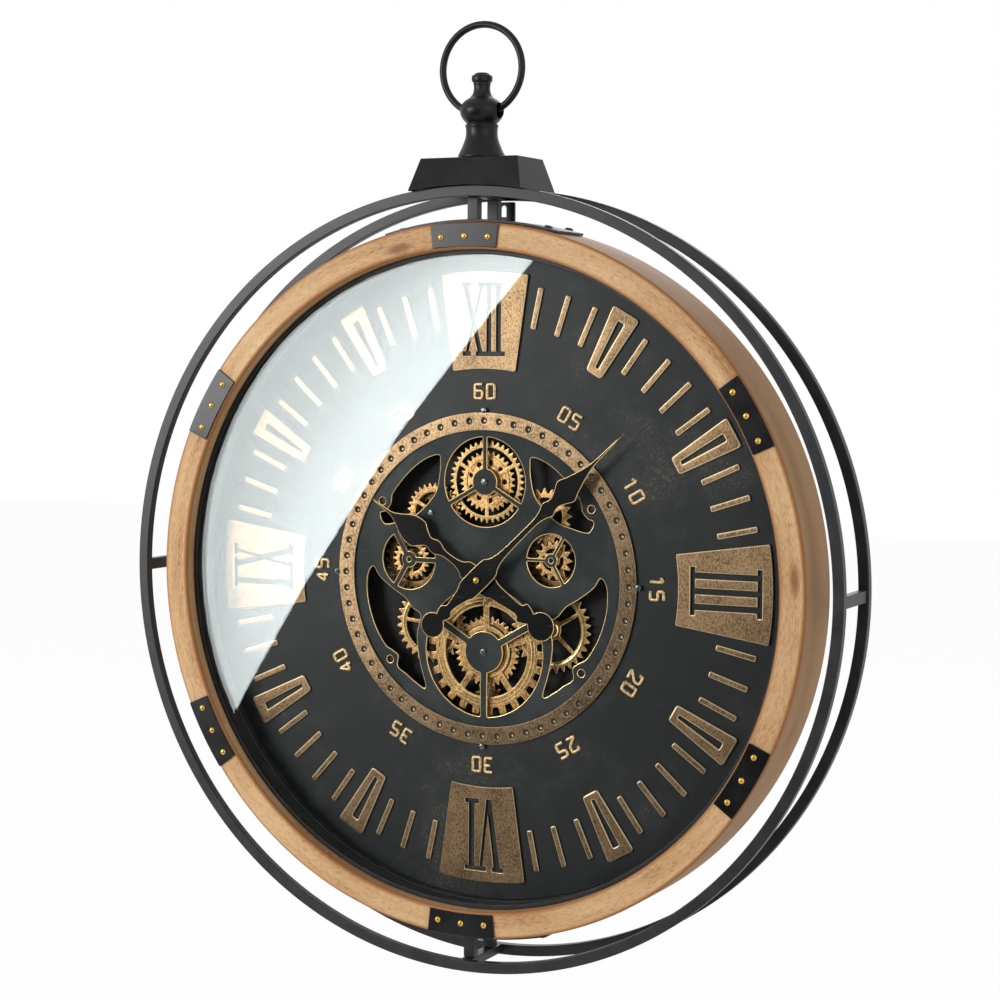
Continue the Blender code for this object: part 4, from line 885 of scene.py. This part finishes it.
def aged_bronze(name, colour, edge, shine=0.32, painted_shade_in_front_of=None, painted_shade_below=None, slot="antique_bronze"):
    """Cast bronze, its edges of another tone: a bright one is rubbed wear with a painted highlight, a dark
    one painted shade, and faces turned fully away from the front are painted darker as painted shade. If
    asked, it is painted near black in front of a depth, in metres, as painted shade, and painted darker below
    a line, as painted shade: where the shade is full, where it ends, the line's slope, and its strength."""
    bronze = Finish(name, slot, metallic=0.8)
    brushed = bronze.noise(1.0, 4.0, 0.7, bronze.stretched((800.0, 700.0, 520.0)))
    fine = bronze.noise(1400.0, 3.0, 0.7)
    mottle = bronze.noise(30.0, 5.0, 0.6) * 0.25 + brushed * 0.6 + fine * 0.15
    painted_flank_shade, dark, light = (tuple(c * share for c in colour) for share in (0.2, 0.35, 1.3))
    rubbed_and_highlit = bronze.turned_away(0.998, 0.95)
    tone = bronze.mix(dark, light, bronze.fade(mottle, 0.4, 0.58))
    # edges take the edge tone: where it is bright, rubbed wear with a painted highlight; where it is dark,
    # painted shade
    tone = bronze.mix(tone, edge, rubbed_and_highlit * (0.6 + brushed * 0.5))
    # painted shade: faces turned fully away from the front, such as flanks and the sides of gaps, are painted
    # darker
    tone = bronze.mix(tone, painted_flank_shade, bronze.turned_away(0.5, 0.2) * 0.85)
    # painted shade: near black in front of the given depth, where pivot ends sit in the plate's holes
    if painted_shade_in_front_of is not None:
        depth = bronze.part(bronze.place, "Y")
        tone = bronze.mix(paint(26, 24, 22), tone, bronze.fade(depth, painted_shade_in_front_of, painted_shade_in_front_of + 0.0002))
    # painted shade: darker below a sloped line across the dial
    if painted_shade_below is not None:
        full, none, slope, strength = painted_shade_below
        height = bronze.part(bronze.place, "Z") - bronze.part(bronze.place, "X") * slope
        tone = bronze.mix(tone, paint(14, 10, 6), (1 - bronze.fade(height, full, none)) * strength)
    bronze.set(base_color=tone, roughness=shine + brushed * 0.2 - rubbed_and_highlit * 0.08,
               normal=bronze.bump(brushed * 0.6 + fine * 0.4, 0.00005, 0.5))
    return bronze


def on_ray(degrees, across, along):
    """A point by its place along the ray at a clock angle, and across it."""
    turn = math.radians(degrees)
    sine, cosine = math.sin(turn), math.cos(turn)
    return (along * sine + across * cosine, along * cosine - across * sine)


def clocked(radius, degrees):
    """A point on a circle at a clock angle."""
    return on_ray(degrees, 0.0, radius)


def prism(corners, front, rear):
    """A straight prism over an outline in (x, z)."""
    shape = bmesh.new()
    face = shape.faces.new([shape.verts.new((x, front, z)) for x, z in corners])
    pulled = bmesh.ops.extrude_face_region(shape, geom=[face])["geom"]
    ends = [part for part in pulled if isinstance(part, bmesh.types.BMVert)]
    bmesh.ops.translate(shape, vec=(0, rear - front, 0), verts=ends)
    bmesh.ops.recalc_face_normals(shape, faces=shape.faces)
    return shape


sheet = cut_sheet([circle(DIAL_R, 256), circle(DIAL_OPENING, 180)], 0, DIAL_THICK, 0.2)
dressed(laid("dial_sheet", sheet), slate_coat("dial_slate", paint(27, 29, 30)), "dial_plate")

# painted shade: the marks are painted darker towards the dial's bottom
mark_bronze = aged_bronze("aged_bronze", paint(164, 132, 98), paint(255, 228, 182), 0.33,
                          painted_shade_below=(-0.5, -0.16, 0.0, 0.42))
outline = rounded(upright(*banded(0.563, 0.830), TICK_HALF), 1.3, 4)
tick = cut_sheet([outline], TICK_FRONT, MARK_REAR, 1.0, 2, 0.6)
ringed("minute_marks", tick, mark_bronze, 60, 0.0, leave_out=5.0, clear_of=15.0, clear_by=1.0)

outline = rounded(upright(*banded(0.451, 0.895), 7.0, 12.2), 2.8, 5)
slot = rounded(upright(*banded(0.498, 0.822), 1.3, 2.8), 1.2, 5)
hour_bar = cut_sheet([outline, slot], BAR_FRONT, MARK_REAR, 1.4, 2, 0.6)
ringed("hour_marks", hour_bar, mark_bronze, 12, 0.0, leave_out=3.0)

inner, outer = banded(0.277, 0.895)
reach_in, reach_out = (math.degrees(math.asin(half / radius))
                       for half, radius in zip(NUMERAL_HALVES, (inner, outer)))
foot, head = inner + NUMERAL_MARGINS[0], outer - NUMERAL_MARGINS[1]
for hour, numeral in NUMERALS.items():
    degrees = hour * 30
    outline = two_sided([clocked(outer, degrees + reach_out * k / 12) for k in range(-12, 13)],
                        [clocked(inner, degrees - reach_in * k / 8) for k in range(-8, 9)], 3.6, 5)
    piece = laid(f"numeral_plate_{hour or 12}", prism(outline, BAR_FRONT, MARK_REAR))
    openings = [((a, foot), (b, foot), (d, head), (c, head)) for a, b, c, d in numeral["strokes"]]
    for serifs, low, high in ((numeral["feet"], foot, foot + SERIF), (numeral["heads"], head - SERIF, head)):
        openings += [((a, low), (b, low), (b, high), (a, high)) for a, b in serifs]
    for opening in openings:
        cutter = laid("cutter", prism([on_ray(degrees, *corner) for corner in opening], -4.0, 1.0))
        soft(carved(piece, cutter))
    shape = simplified(shaped(piece.data), 4e-6, 0.5)
    rim = [e for e in shape.edges if e.is_manifold and e.calc_face_angle(0) > 0.9
           and max(v.co.y for v in e.verts) < DIAL_PLACE.y - 1.9 * MM]
    eased_edges(shape, rim, 0.8 * MM)
    piece.data = meshed(shape)
    dressed(soft(piece), mark_bronze)


# Chapter ring. A flat bronze ring with a round dimple at every minute hides the edge of the dial's opening.
# Four small slotted screws hold it. The minutes are numbered round it in thin gilt outlines.

CHAPTER_FRONT, CHAPTER_REAR = -1.9, -0.3
DIMPLE_RING, DIMPLE_R = 122.3, 2.7
NUMBER_RING, DIGIT_RISE, DIGIT_HALF, DIGIT_APART = 144.8, 10.9, 3.2, 10.6
STROKE_R, STROKE_DEPTH, STROKE_BEND = 1.3, -0.25, 1.5
# each digit is drawn in single strokes, closed or open, as shares of its half width and its height
DIGITS = {"0": [[(-1, 0), (1, 0), (1, 1), (-1, 1), (-1, 0)]],
          "1": [[(-0.9, 0.78), (0.1, 1), (0.1, 0)]],
          "2": [[(-1, 0.72), (-1, 1), (1, 1), (1, 0.56), (-1, 0.06), (-1, 0), (1, 0)]],
          "3": [[(-1, 1), (1, 1), (1, 0.53), (-0.4, 0.53)], [(1, 0.53), (1, 0), (-1, 0)]],
          "4": [[(0.5, 0), (0.5, 1), (-1, 0.28), (1.1, 0.28)]],
          "5": [[(1, 1), (-1, 1), (-1, 0.56), (1, 0.56), (1, 0), (-1, 0)]],
          "6": [[(1, 1), (-1, 1), (-1, 0), (1, 0), (1, 0.54), (-1, 0.54)]]}


def slotted_screw(radius, height, front):
    """A cheese-head screw whose slot lies across it."""
    rear = front + height
    head = turned([(0, front), (radius * 0.8, front), (radius, front + 0.25 * height), (radius, rear),
                   (0, rear)], 32)
    slit = bar((-radius * 1.2, front - 1, -radius * 0.14),
               (radius * 1.2, front + height * 0.45, radius * 0.14), 0.01, 1)
    screw = carved(linked("screw", meshed(head)), linked("slit", meshed(slit)))
    shape = shaped(screw.data)
    bpy.data.objects.remove(screw)
    return shape


def stroke_path(corners):
    """An open line through the corners, rounded at each."""
    path = [corners[0]]
    points = [Vector(corner) for corner in corners]
    for before, here, after in zip(points, points[1:], points[2:]):
        before, after = before - here, after - here
        reach = min(STROKE_BEND, before.length * 0.45, after.length * 0.45)
        start, end = (here + side.normalized() * reach for side in (before, after))
        path += bend(start, here, end, (0, 0.33, 0.67, 1))
    return path + [corners[-1]]


def number_strokes(minute):
    """A minute's two digits, in low, rounded strokes laid on the dial at its place."""
    paths = [stroke_path([(place + x * DIGIT_HALF, (z - 0.5) * DIGIT_RISE) for x, z in stroke])
             for place, digit in zip((-DIGIT_APART / 2, DIGIT_APART / 2), f"{minute or 60:02d}")
             for stroke in DIGITS[digit]]
    strokes = drawn(paths, False, dimensions="3D", bevel_depth=STROKE_R, bevel_resolution=2,
                    use_fill_caps=True)
    return moved(shaped(strokes), (0, STROKE_DEPTH, NUMBER_RING), minute * 6)


# painted shade: the ring is painted darker towards its lower right
ring_bronze = aged_bronze("ring_bronze", paint(168, 136, 102), paint(255, 224, 174), 0.33,
                          painted_shade_below=(-0.43, -0.2, 0.9, 0.55))
dimple_bores = [circle(DIMPLE_R, 20, clocked(DIMPLE_RING, minute * 6)) for minute in range(60)]
band = cut_sheet([circle(CHAPTER_OUTER, 240), circle(CHAPTER_INNER, 240), *dimple_bores], CHAPTER_FRONT,
                 CHAPTER_REAR, 0.35)
dressed(laid("chapter_band", band), ring_bronze, "chapter_ring")
bowl = turned([(0, -0.6), (1.1, -0.7), (2.0, -1.0), (2.75, -1.65), (2.9, -1.6), (2.9, -0.4), (0, -0.4)], 20)
# painted shade: the dimples' sloped walls take the near-black edge tone, as shade in each hollow
dimple_bronze = aged_bronze("dimple_bronze", paint(160, 144, 120), paint(24, 20, 16), 0.3, slot="dark_bronze")
ringed("chapter_dimples", bowl, dimple_bronze, 60, DIMPLE_RING)

bright_steel = mottled("bright_screw_steel", "grey_steel", (paint(88, 92, 90), paint(132, 136, 134)),
                       (900.0, 4.0), (0.3, 0.7), (0.2, 0.16), metallic=0.95)
ringed("chapter_screws", slotted_screw(2.2, 1.2, -3.0), bright_steel, 4, CHAPTER_OUTER + 1.7)

gilt = mottled("gilt_line", "antique_bronze", (paint(150, 118, 82), paint(238, 206, 156)), (600.0, 4.0),
               (0.3, 0.6), (0.34, 0.2), depth=0.00004, metallic=0.9)
numbers = merged(*(number_strokes(minute) for minute in range(0, 60, 5)))
dressed(laid("minute_numbers", cleaned(numbers, 0.003)), gilt)


# Movement frame. A slate-painted plate fills the dial's opening, pierced by windows with gilded edges. Behind
# it four steel pillars hold it off the rear plate, and the arbors turn between the two.

ON_ARBORS = ("great", "left", "right", "mid_left", "mid_right", "upper_left", "upper", "upper_right")
TURNING = {joint["child"]: joint["pos_m"] for joint in frame["joints"] if "pos_m" in joint}
# where each wheel and the motor turn, in (x, z) on the dial
PLACES = {body: tuple((TURNING[body][axis] - TURNING["minute"][axis]) / MM for axis in (0, 2))
          for body in (*ON_ARBORS, "motor")}
# the windows at the lower left and the upper right; the other two mirror them
LOWER_WINDOW = [(-98.6, 5.0), (-103.5, -2.8), (-103.1, -20.6), (-97.1, -40.3), (-87.8, -55.8),
                (-81.0, -60.2), (-75.6, -64.5), (-76.0, -73.0), (-68.2, -78.5), (-60.5, -84.0),
                (-51.1, -88.2), (-55.8, -70.3), (-58.8, -53.2), (-58.6, -43.9), (-56.0, -31.3),
                (-63.2, -26.0), (-70.3, -18.1), (-80.9, -11.6), (-92.7, -2.7)]
UPPER_WINDOW = [(40.7, 94.8), (53.2, 90.5), (66.0, 80.9), (76.7, 69.2), (81.5, 62.0), (82.6, 55.0),
                (87.4, 49.6), (92.0, 47.6), (90.5, 42.0), (86.3, 39.4), (74.5, 42.1), (60.3, 47.4),
                (44.2, 63.5), (39.8, 77.9), (39.0, 89.5)]
# the round openings: the hub's and the rim's radius, the spokes' width and turn, and the corners' radius
ROUND_WINDOWS = {"great": (16.4, 50.5, 6.0, 30, 1.5), "upper": (10.6, 34.7, 4.0, 90, 1.0),
                 "mid_left": (6.6, 23.4, 4.5, 0, 1.0), "mid_right": (5.6, 20.2, 3.0, 60, 1.0)}
PILLARS = ((90.3, 57.2), (-90.3, 57.2), (83.0, -67.8), (-83.0, -67.8))
BUSH_BORE, ARBOR_BORE, PILLAR_BORE, MOTOR_BORE = 4.9, 1.8, 2.8, 4.5
REAR_R, REAR_LEVELS = 126.0, (13.2, 15.2)


def between_spokes(inner, outer, spokes, width, start, centre=(0, 0), corner=1.0):
    """The openings that straight spokes leave between a hub and a rim, their corners rounded."""
    loops = []
    for k in range(spokes):
        here, after = start + 360 * k / spokes, start + 360 * (k + 1) / spokes
        wide, narrow = (math.degrees(math.asin(width / 2 / radius)) for radius in (outer, inner))
        loops.append(two_sided(arc(outer, here + wide, after - wide, 40, centre),
                               arc(inner, after - narrow, here + narrow, 20, centre), corner))
    return loops


skeleton_slate = slate_coat("skeleton_slate", paint(46, 50, 50), 1.0)
loops = [circle(DIAL_OPENING - GAP, 200), circle(BUSH_BORE, 40)]
for body, (hub, rim, width, start, corner) in ROUND_WINDOWS.items():
    loops += between_spokes(hub, rim, 3, width, start, PLACES[body], corner)
for window in (LOWER_WINDOW, UPPER_WINDOW):
    loops += [flowing(window, 5), flowing([(-x, z) for x, z in reversed(window)], 5)]
loops += [circle(ARBOR_BORE, 20, PLACES[body]) for body in ON_ARBORS]
loops += [circle(PILLAR_BORE, 28, place) for place in PILLARS]
plate = cut_sheet(loops, 0, DIAL_THICK, 0.85, 2, 0.6)
dressed(laid("pierced_plate", plate), skeleton_slate, "skeleton_plate")

plate_coat = powder_coat("rear_plate_coat", paint(8, 8, 9), 0.6)
loops = [circle(REAR_R, 128), circle(BUSH_BORE, 32), circle(MOTOR_BORE, 32, PLACES["motor"])]
loops += [circle(ARBOR_BORE, 16, PLACES[body]) for body in ON_ARBORS]
dressed(laid("rear_frame_plate", cut_sheet(loops, *REAR_LEVELS)), plate_coat, "rear_plate")
blackened = powder_coat("blackened_pillar_steel", paint(26, 27, 28), 0.4, slot="grey_steel")
for number, (x, z) in enumerate(PILLARS, 1):
    pillar = turned([(0, 2.3), (3.4, 2.3), (4.0, 2.9), (4.0, 4.6), (3.3, 5.4), (3.3, 9.8), (4.0, 10.6),
                     (4.0, 12.3), (3.4, 12.9), (0, 12.9)], 40)
    dressed(laid(f"frame_pillar_{number}", pillar, (x, 0, z)), blackened, f"movement_pillar_{number}")


# Wheels. Bronze-plated gear wheels in two layers, cut from sheet with round-cornered windows and rubbed
# bright on their edges, which also carry a painted highlight, turn on short arbors. The motor's pinion drives
# them from behind the great wheel.

FRONT_LAYER, REAR_LAYER = (4.0, 7.0), (8.6, 11.6)
ARBOR_HOLE, MODULE, FINE_MODULE, WHEEL_EDGE = 3.3, 2.0, 1.54, 0.5
GREAT_TEETH, UPPER_TEETH, UPPER_LEFT_TEETH, MID_RIGHT_TEETH = 25, 40, 29, 14
GREAT_RINGS, EYES_RING, FRONT_COLLAR = ((41.6, 42.6), (36.2, 39.8), (16.8, 19.8)), 38.0, (3.3, 4.2, 4.6)
HUB_SCREWS = {"upper_hub_screw": ("upper", 2.6), "great_hub_screw": ("great", 2.7),
              "left_frame_screw": ("upper_left", 2.5)}
SCREW_SLOT_TURN = math.degrees(0.6)
# the rear wheels that the great rear wheel drives, straight or through others: driver, wheel, teeth
TRAIN = (("great", "left", 29), ("great", "right", 32), ("great", "motor", 10), ("left", "mid_left", 24),
         ("right", "mid_right", 22), ("mid_left", "upper_left", 18))


def meshing_phase(driver, driver_teeth, driver_phase, driven, teeth):
    """The turn at which a wheel's teeth stand in its driver's gaps. A phase says where a tooth is, in
    radians from +x towards +z."""
    (x, z), (driven_x, driven_z) = PLACES[driver], PLACES[driven]
    towards = math.atan2(driven_z - z, driven_x - x)
    share = (towards - driver_phase) * driver_teeth / math.tau % 1
    return towards + math.pi + (share + 0.5) * math.tau / teeth


def cogs(teeth, module=MODULE, phase=0.0):
    """A gear's outline, with the tips and roots of its teeth rounded."""
    radius, pitch = teeth * module / 2, math.tau / teeth
    half, flank = 0.20 * math.pi * module, math.tan(math.radians(22))
    tip, root = 0.85 * module, 1.1 * module
    corners = [(radius - root, -(half + root * flank)), (radius + tip, -(half - tip * flank)),
               (radius + tip, half - tip * flank), (radius - root, half + root * flank)]
    return rounded([spun(r, phase + i * pitch + across / r) for i in range(teeth) for r, across in corners],
                   0.22 * module, 2)


def wheel(outline, layer, windows=(), bore=ARBOR_HOLE):
    """One wheel about its own centre: sheet cut to its outline, with its windows and its bore."""
    return cut_sheet([outline, *windows] + ([circle(bore, 32)] if bore else []), *layer, WHEEL_EDGE, 2)


def collar(front, rear, radius, rim=0.8):
    """A turned hub or washer."""
    return turned([(0, front), (radius - rim, front), (radius, front + rim * 0.8), (radius, rear),
                   (0, rear)], 48)


def pivoted(*shapes):
    """An arbor with a pivot at each end, and the wheels cut in one piece with it."""
    arbor = turned([(0, 15.1), (1.5, 15.1), (1.5, 12.9), (2.6, 12.9), (3.0, 12.5), (3.0, 2.7), (2.6, 2.3),
                    (1.5, 2.3), (1.5, 0.5), (1.2, 0.2), (0, 0.2)], 40)
    return merged(arbor, *shapes)


def raised_ring(inner, outer, front=3.45, steps=128):
    """A low ring turned on a front wheel's face."""
    ease = min(0.5, (outer - inner) * 0.3)
    return lathe([(inner, 4.3), (inner, front + ease * 0.7), (inner + ease, front), (outer - ease, front),
                  (outer, front + ease * 0.7), (outer, 4.3)], steps)


def spoked(teeth, module, rim, hub, spokes, width=3.0):
    """A wheel's windows, between its hub and its rim."""
    return between_spokes(hub, teeth * module / 2 - 1.1 * module - rim, spokes, width, 30)


def set_wheel(name, shape, body, node, finish, slot=None):
    """The wheel in its place, on the body of the same name."""
    x, z = PLACES[body]
    dressed(laid(name, shape, (x, 0, z), 30), finish, node, body=body, slot=slot)


# painted shade: the pivot ends that stand in the plate's holes are painted near black
wheel_bronze = aged_bronze("wheel_bronze", paint(196, 150, 96), paint(255, 228, 166), 0.26,
                           painted_shade_in_front_of=-0.0299)
# painted shade: a darker copy of the wheels' bronze, for the wheels set further back and the motor's pinion
pinion_bronze = aged_bronze("pinion_bronze", paint(124, 92, 58), paint(216, 174, 112), 0.34)
dark_bronze = aged_bronze("dark_aged_bronze", paint(44, 40, 34), paint(150, 122, 78), slot="dark_bronze")

teeth_of, phase_of = {"great": GREAT_TEETH}, {"great": 0.0}
for driver, driven, teeth in TRAIN:
    teeth_of[driven] = teeth
    phase_of[driven] = meshing_phase(driver, teeth_of[driver], phase_of[driver], driven, teeth)

square = [spun(radius, (i + share) * math.tau / GREAT_TEETH) for i in range(GREAT_TEETH)
          for radius, share in ((44.0, -0.27), (50.0, -0.23), (50.0, 0.23), (44.0, 0.27))]
eyes = []
for degrees in range(90, 450, 72):
    x, z = spun(EYES_RING, math.radians(degrees))
    eyes.append(moved(raised_ring(1.7, 3.4, 3.2, 32), (x, 0, z)))
windows = between_spokes(20.5, 35.5, 5, 5.0, 90, corner=2.0)
great = merged(wheel(rounded(square, 0.7, 2), FRONT_LAYER, windows), *(raised_ring(*r) for r in GREAT_RINGS),
               wheel(cogs(34, 1.55, 0.1), (5.6, 6.9), [circle(21.0, 64)], bore=0), *eyes)
set_wheel("great_front_wheel", great, "great", "great_wheel", wheel_bronze)
set_wheel("great_rear_wheel", pivoted(wheel(cogs(GREAT_TEETH), REAR_LAYER)), "great", "great_inner_wheel",
          wheel_bronze)

for body in ("left", "right"):
    teeth = teeth_of[body]
    toothed = wheel(cogs(teeth, MODULE, phase_of[body]), REAR_LAYER, spoked(teeth, MODULE, 4.5, 8.5, 5))
    lip = lathe([(teeth - 5.4, 8.9), (teeth - 5.4, 8.35), (teeth - 4.6, 8.1), (teeth - 3.6, 8.35),
                 (teeth - 3.6, 8.9)], 128)
    set_wheel(f"{body}_spoked_wheel", pivoted(toothed, collar(7.8, 8.8, 6.4), lip), body, f"{body}_wheel",
              wheel_bronze)

for body, rim, hub, front_teeth, module, front_rim, front_hub in (
        ("mid_left", 3.5, 7.5, 20, 1.5, 3.0, 6.0), ("mid_right", 3.5, 7.0, MID_RIGHT_TEETH, MODULE, 3.0, 5.5),
        ("upper_left", 3.0, 6.5, UPPER_LEFT_TEETH, FINE_MODULE, 4.5, 6.5)):
    teeth = teeth_of[body]
    rear = wheel(cogs(teeth, MODULE, phase_of[body]), REAR_LAYER, spoked(teeth, MODULE, rim, hub, 4))
    set_wheel(f"{body}_rear_wheel", rear, body, f"{body}_wheel", pinion_bronze)
    windows = spoked(front_teeth, module, front_rim, front_hub, 3)
    front = pivoted(wheel(cogs(front_teeth, module), FRONT_LAYER, windows, bore=0), collar(*FRONT_COLLAR))
    set_wheel(f"{body}_front_wheel", front, body, f"{body}_arbor", wheel_bronze)

phase = meshing_phase("mid_right", MID_RIGHT_TEETH, 0.0, "upper_right", 20)
shape = pivoted(wheel(cogs(20, MODULE, phase), FRONT_LAYER, spoked(20, MODULE, 3.5, 6.0, 4), bore=0),
                collar(*FRONT_COLLAR))
set_wheel("upper_right_front_wheel", shape, "upper_right", "upper_right_wheel", wheel_bronze)

phase = meshing_phase("upper_left", UPPER_LEFT_TEETH, 0.0, "upper", UPPER_TEETH)
openings = [circle(3.2, 3)]
openings += [circle(2.1, 24, spun(14.6, math.radians(degrees))) for degrees in range(0, 360, 40)]
shape = merged(wheel(cogs(UPPER_TEETH, FINE_MODULE, phase), FRONT_LAYER,
                     spoked(UPPER_TEETH, FINE_MODULE, 2.6, 13.0, 3)),
               wheel(cogs(30, 1.5, 0.1), (4.9, 6.8), openings, bore=0),
               raised_ring(26.6, 28.2), raised_ring(17.6, 19.0, 4.5))
set_wheel("upper_front_wheel", shape, "upper", "upper_wheel", wheel_bronze)
set_wheel("upper_rear_wheel", wheel(cogs(22, 1.5), REAR_LAYER), "upper", "upper_inner_wheel", pinion_bronze)
set_wheel("upper_turned_arbor", pivoted(), "upper", "upper_arbor", dark_bronze)
pinion = wheel(cogs(teeth_of["motor"], MODULE, phase_of["motor"]), REAR_LAYER, bore=1.5)
set_wheel("motor_brass_pinion", pinion, "motor", "motor_pinion", pinion_bronze, slot="nail_brass")

for name, (body, radius) in HUB_SCREWS.items():
    x, z = PLACES[body]
    screw = moved(slotted_screw(radius, 1.1, -1.2), turn=SCREW_SLOT_TURN)
    dressed(laid(name, screw, (x, 0, z)), bright_steel)


# Hands. Two spade hands stamped from thin sheet, painted slate like the dial, their edges rubbed to gold. The
# hour hand sits on a pipe and the minute hand on an arbor, under a small domed cap.

MINUTE_ANGLE, HOUR_ANGLE = 46.5, -58.0
MINUTE_FRONT, HOUR_FRONT, HAND_THICK = -12.2, -9.0, 1.0
MINUTE_BORE, HOUR_BORE = 1.75, 3.25
# how far below the hub each hand's counterweight is, and its radius
MINUTE_DISC, HOUR_DISC = (53.3, 10.0), (62.5, 11.2)
# half the width at each distance from the hub
MINUTE_PROFILE = [(12.5, 8.6), (19.0, 5.6), (26.0, 3.6), (36.0, 2.8), (53.0, 2.4), (68.0, 2.5), (76.0, 4.0),
                  (82.0, 6.4), (86.5, 5.0), (90.5, 4.6), (96.0, 6.8), (103.0, 10.2), (110.0, 7.6),
                  (121.0, 4.2), (130.0, 2.0), (139.0, 1.2), (153.0, 0.8), (166.8, 0.3)]
MINUTE_TAIL = [(10.5, 8.6), (16.0, 6.6), (26.0, 4.2), (33.5, 3.4), (36.5, 6.0), (41.0, 5.6), (43.5, 4.2)]
HOUR_PROFILE = [(12.0, 8.0), (18.0, 4.6), (25.0, 2.8), (36.0, 2.8), (42.5, 5.4), (46.5, 5.6), (52.0, 4.2),
                (58.0, 8.0), (62.5, 11.4), (70.0, 11.4), (77.0, 9.0), (83.0, 5.4), (90.0, 2.0), (96.0, 1.2),
                (105.0, 0.8), (112.8, 0.3)]
HOUR_TAIL = [(10.0, 8.6), (16.0, 6.8), (28.0, 5.4), (40.0, 4.6), (43.5, 8.2), (48.0, 7.2), (52.5, 5.0)]


def spade_hand(profile, tail, disc_at, disc_r):
    """The outline of a hand that points along +z, with a stem and a round counterweight below its hub."""
    down = [(half, along) for along, half in reversed(profile)] + [(half, -along) for along, half in tail]
    right = flowing(down, 4, closed=False)
    half = tail[-1][1]
    start = math.degrees(math.atan2(math.sqrt(disc_r ** 2 - half ** 2), half))
    disc = arc(disc_r, start, -180 - start, 40, (0, -disc_at))
    return right[:-1] + disc + [(-x, z) for x, z in reversed(right)][1:]


def hand(name, node, body, outline, bore, front, degrees):
    """A hand cut from sheet, at its clock angle."""
    blade = cut_sheet([outline, circle(bore, 40)], front, front + HAND_THICK, 0.7, 2, 0.6)
    dressed(laid(name, moved(blade, turn=degrees)), hand_slate, node, body=body)


hand_slate = slate_coat("hand_slate", paint(6, 6, 7), 1.0)
minute_outline = spade_hand(MINUTE_PROFILE, MINUTE_TAIL, *MINUTE_DISC)
hour_outline = spade_hand(HOUR_PROFILE, HOUR_TAIL, *HOUR_DISC)
hand("long_hand", "minute_hand", "minute", minute_outline, MINUTE_BORE, MINUTE_FRONT, MINUTE_ANGLE)
hand("short_hand", "hour_hand", "hour", hour_outline, HOUR_BORE, HOUR_FRONT, HOUR_ANGLE)
cap = turned([(MINUTE_BORE, -12.3), (MINUTE_BORE, -13.4), (0, -13.4), (0, -14.9), (1.0, -14.9), (1.9, -14.6),
              (2.5, -14.0), (2.8, -13.2), (2.8, -12.3)], 48)
dressed(laid("domed_cap", cap), brass, "hand_cap", body="minute")
dressed(eased("centre_arbor", "minute_arbor", 0.15), steel, "minute_arbor", body="minute")
dressed(eased("brass_hour_pipe", "hour_pipe", 0.15), brass, "hour_pipe", body="hour")
dressed(eased("bush_lock_nut", "bush_nut", 0.5), brass, "bush_nut")


# Behind the plate. A battery time movement in the middle, a small gear motor below it with its battery tray
# above, in black plastic and plain steel. The tray's lid slides off sideways.

KNURLS, KNURL_RADII, KNOB_LEVELS = 60, (6.4, 7.0), (28.8, 31.4)
# each cell's depth and height on the dial, radius and length; they lie across the clock
CELLS = {"movement_cell": (23.1, -18.8, 5.1, 44.0), "motor_cell_1": (23.3, 54.5, 6.0, 50.0),
         "motor_cell_2": (23.3, 69.5, 6.0, 50.0)}


def cell_wrap():
    """A blue-grey sleeve with a brown band at each end of the cell."""
    wrap = Finish("plain_cell_wrap", "cell_wrap", specular_ior_level=0.5)
    band = wrap.fade(abs(wrap.part(wrap.place, "X")), 0.0158, 0.0162)
    grain = wrap.noise(500.0, 4.0)
    sleeve = wrap.mix(paint(104, 124, 136), paint(122, 142, 152), grain)
    wrap.set(base_color=wrap.mix(sleeve, paint(150, 112, 70), band), roughness=0.3 + grain * 0.15,
             normal=wrap.bump(grain, 0.00003, 0.4))
    return wrap


dressed(eased("time_movement", "quartz_movement", 0.8, 3), black_plastic, "quartz_movement")
knurls = [spun(KNURL_RADII[k % 2], math.tau * k / KNURLS) for k in range(KNURLS)]
knob = cut_sheet([knurls, circle(MINUTE_BORE, 32)], *KNOB_LEVELS, 0.25)
dressed(laid("hand_setting_knob", knob), black_plastic, "setting_wheel", body="minute")
dressed(eased("geared_motor", "gear_motor", 0.8, 3), steel, "gear_motor")
dressed(eased("cell_tray", "battery_tray", 0.5), black_plastic, "battery_tray")
dressed(eased("sliding_lid", "battery_cover", 0.5), black_plastic, "battery_cover", body="cover")

wrap = cell_wrap()
for node, (y, z, radius, length) in CELLS.items():
    half = length / 2
    cell = turned([(0, half), (radius * 0.38, half), (radius * 0.38, half - 1.4), (radius - 0.5, half - 1.4),
                   (radius, half - 2.0), (radius, -half + 0.6), (radius - 0.6, -half), (0, -half)], 48, "X")
    dressed(laid(f"plain_{node}", cell, (0, y, z)), wrap, node)
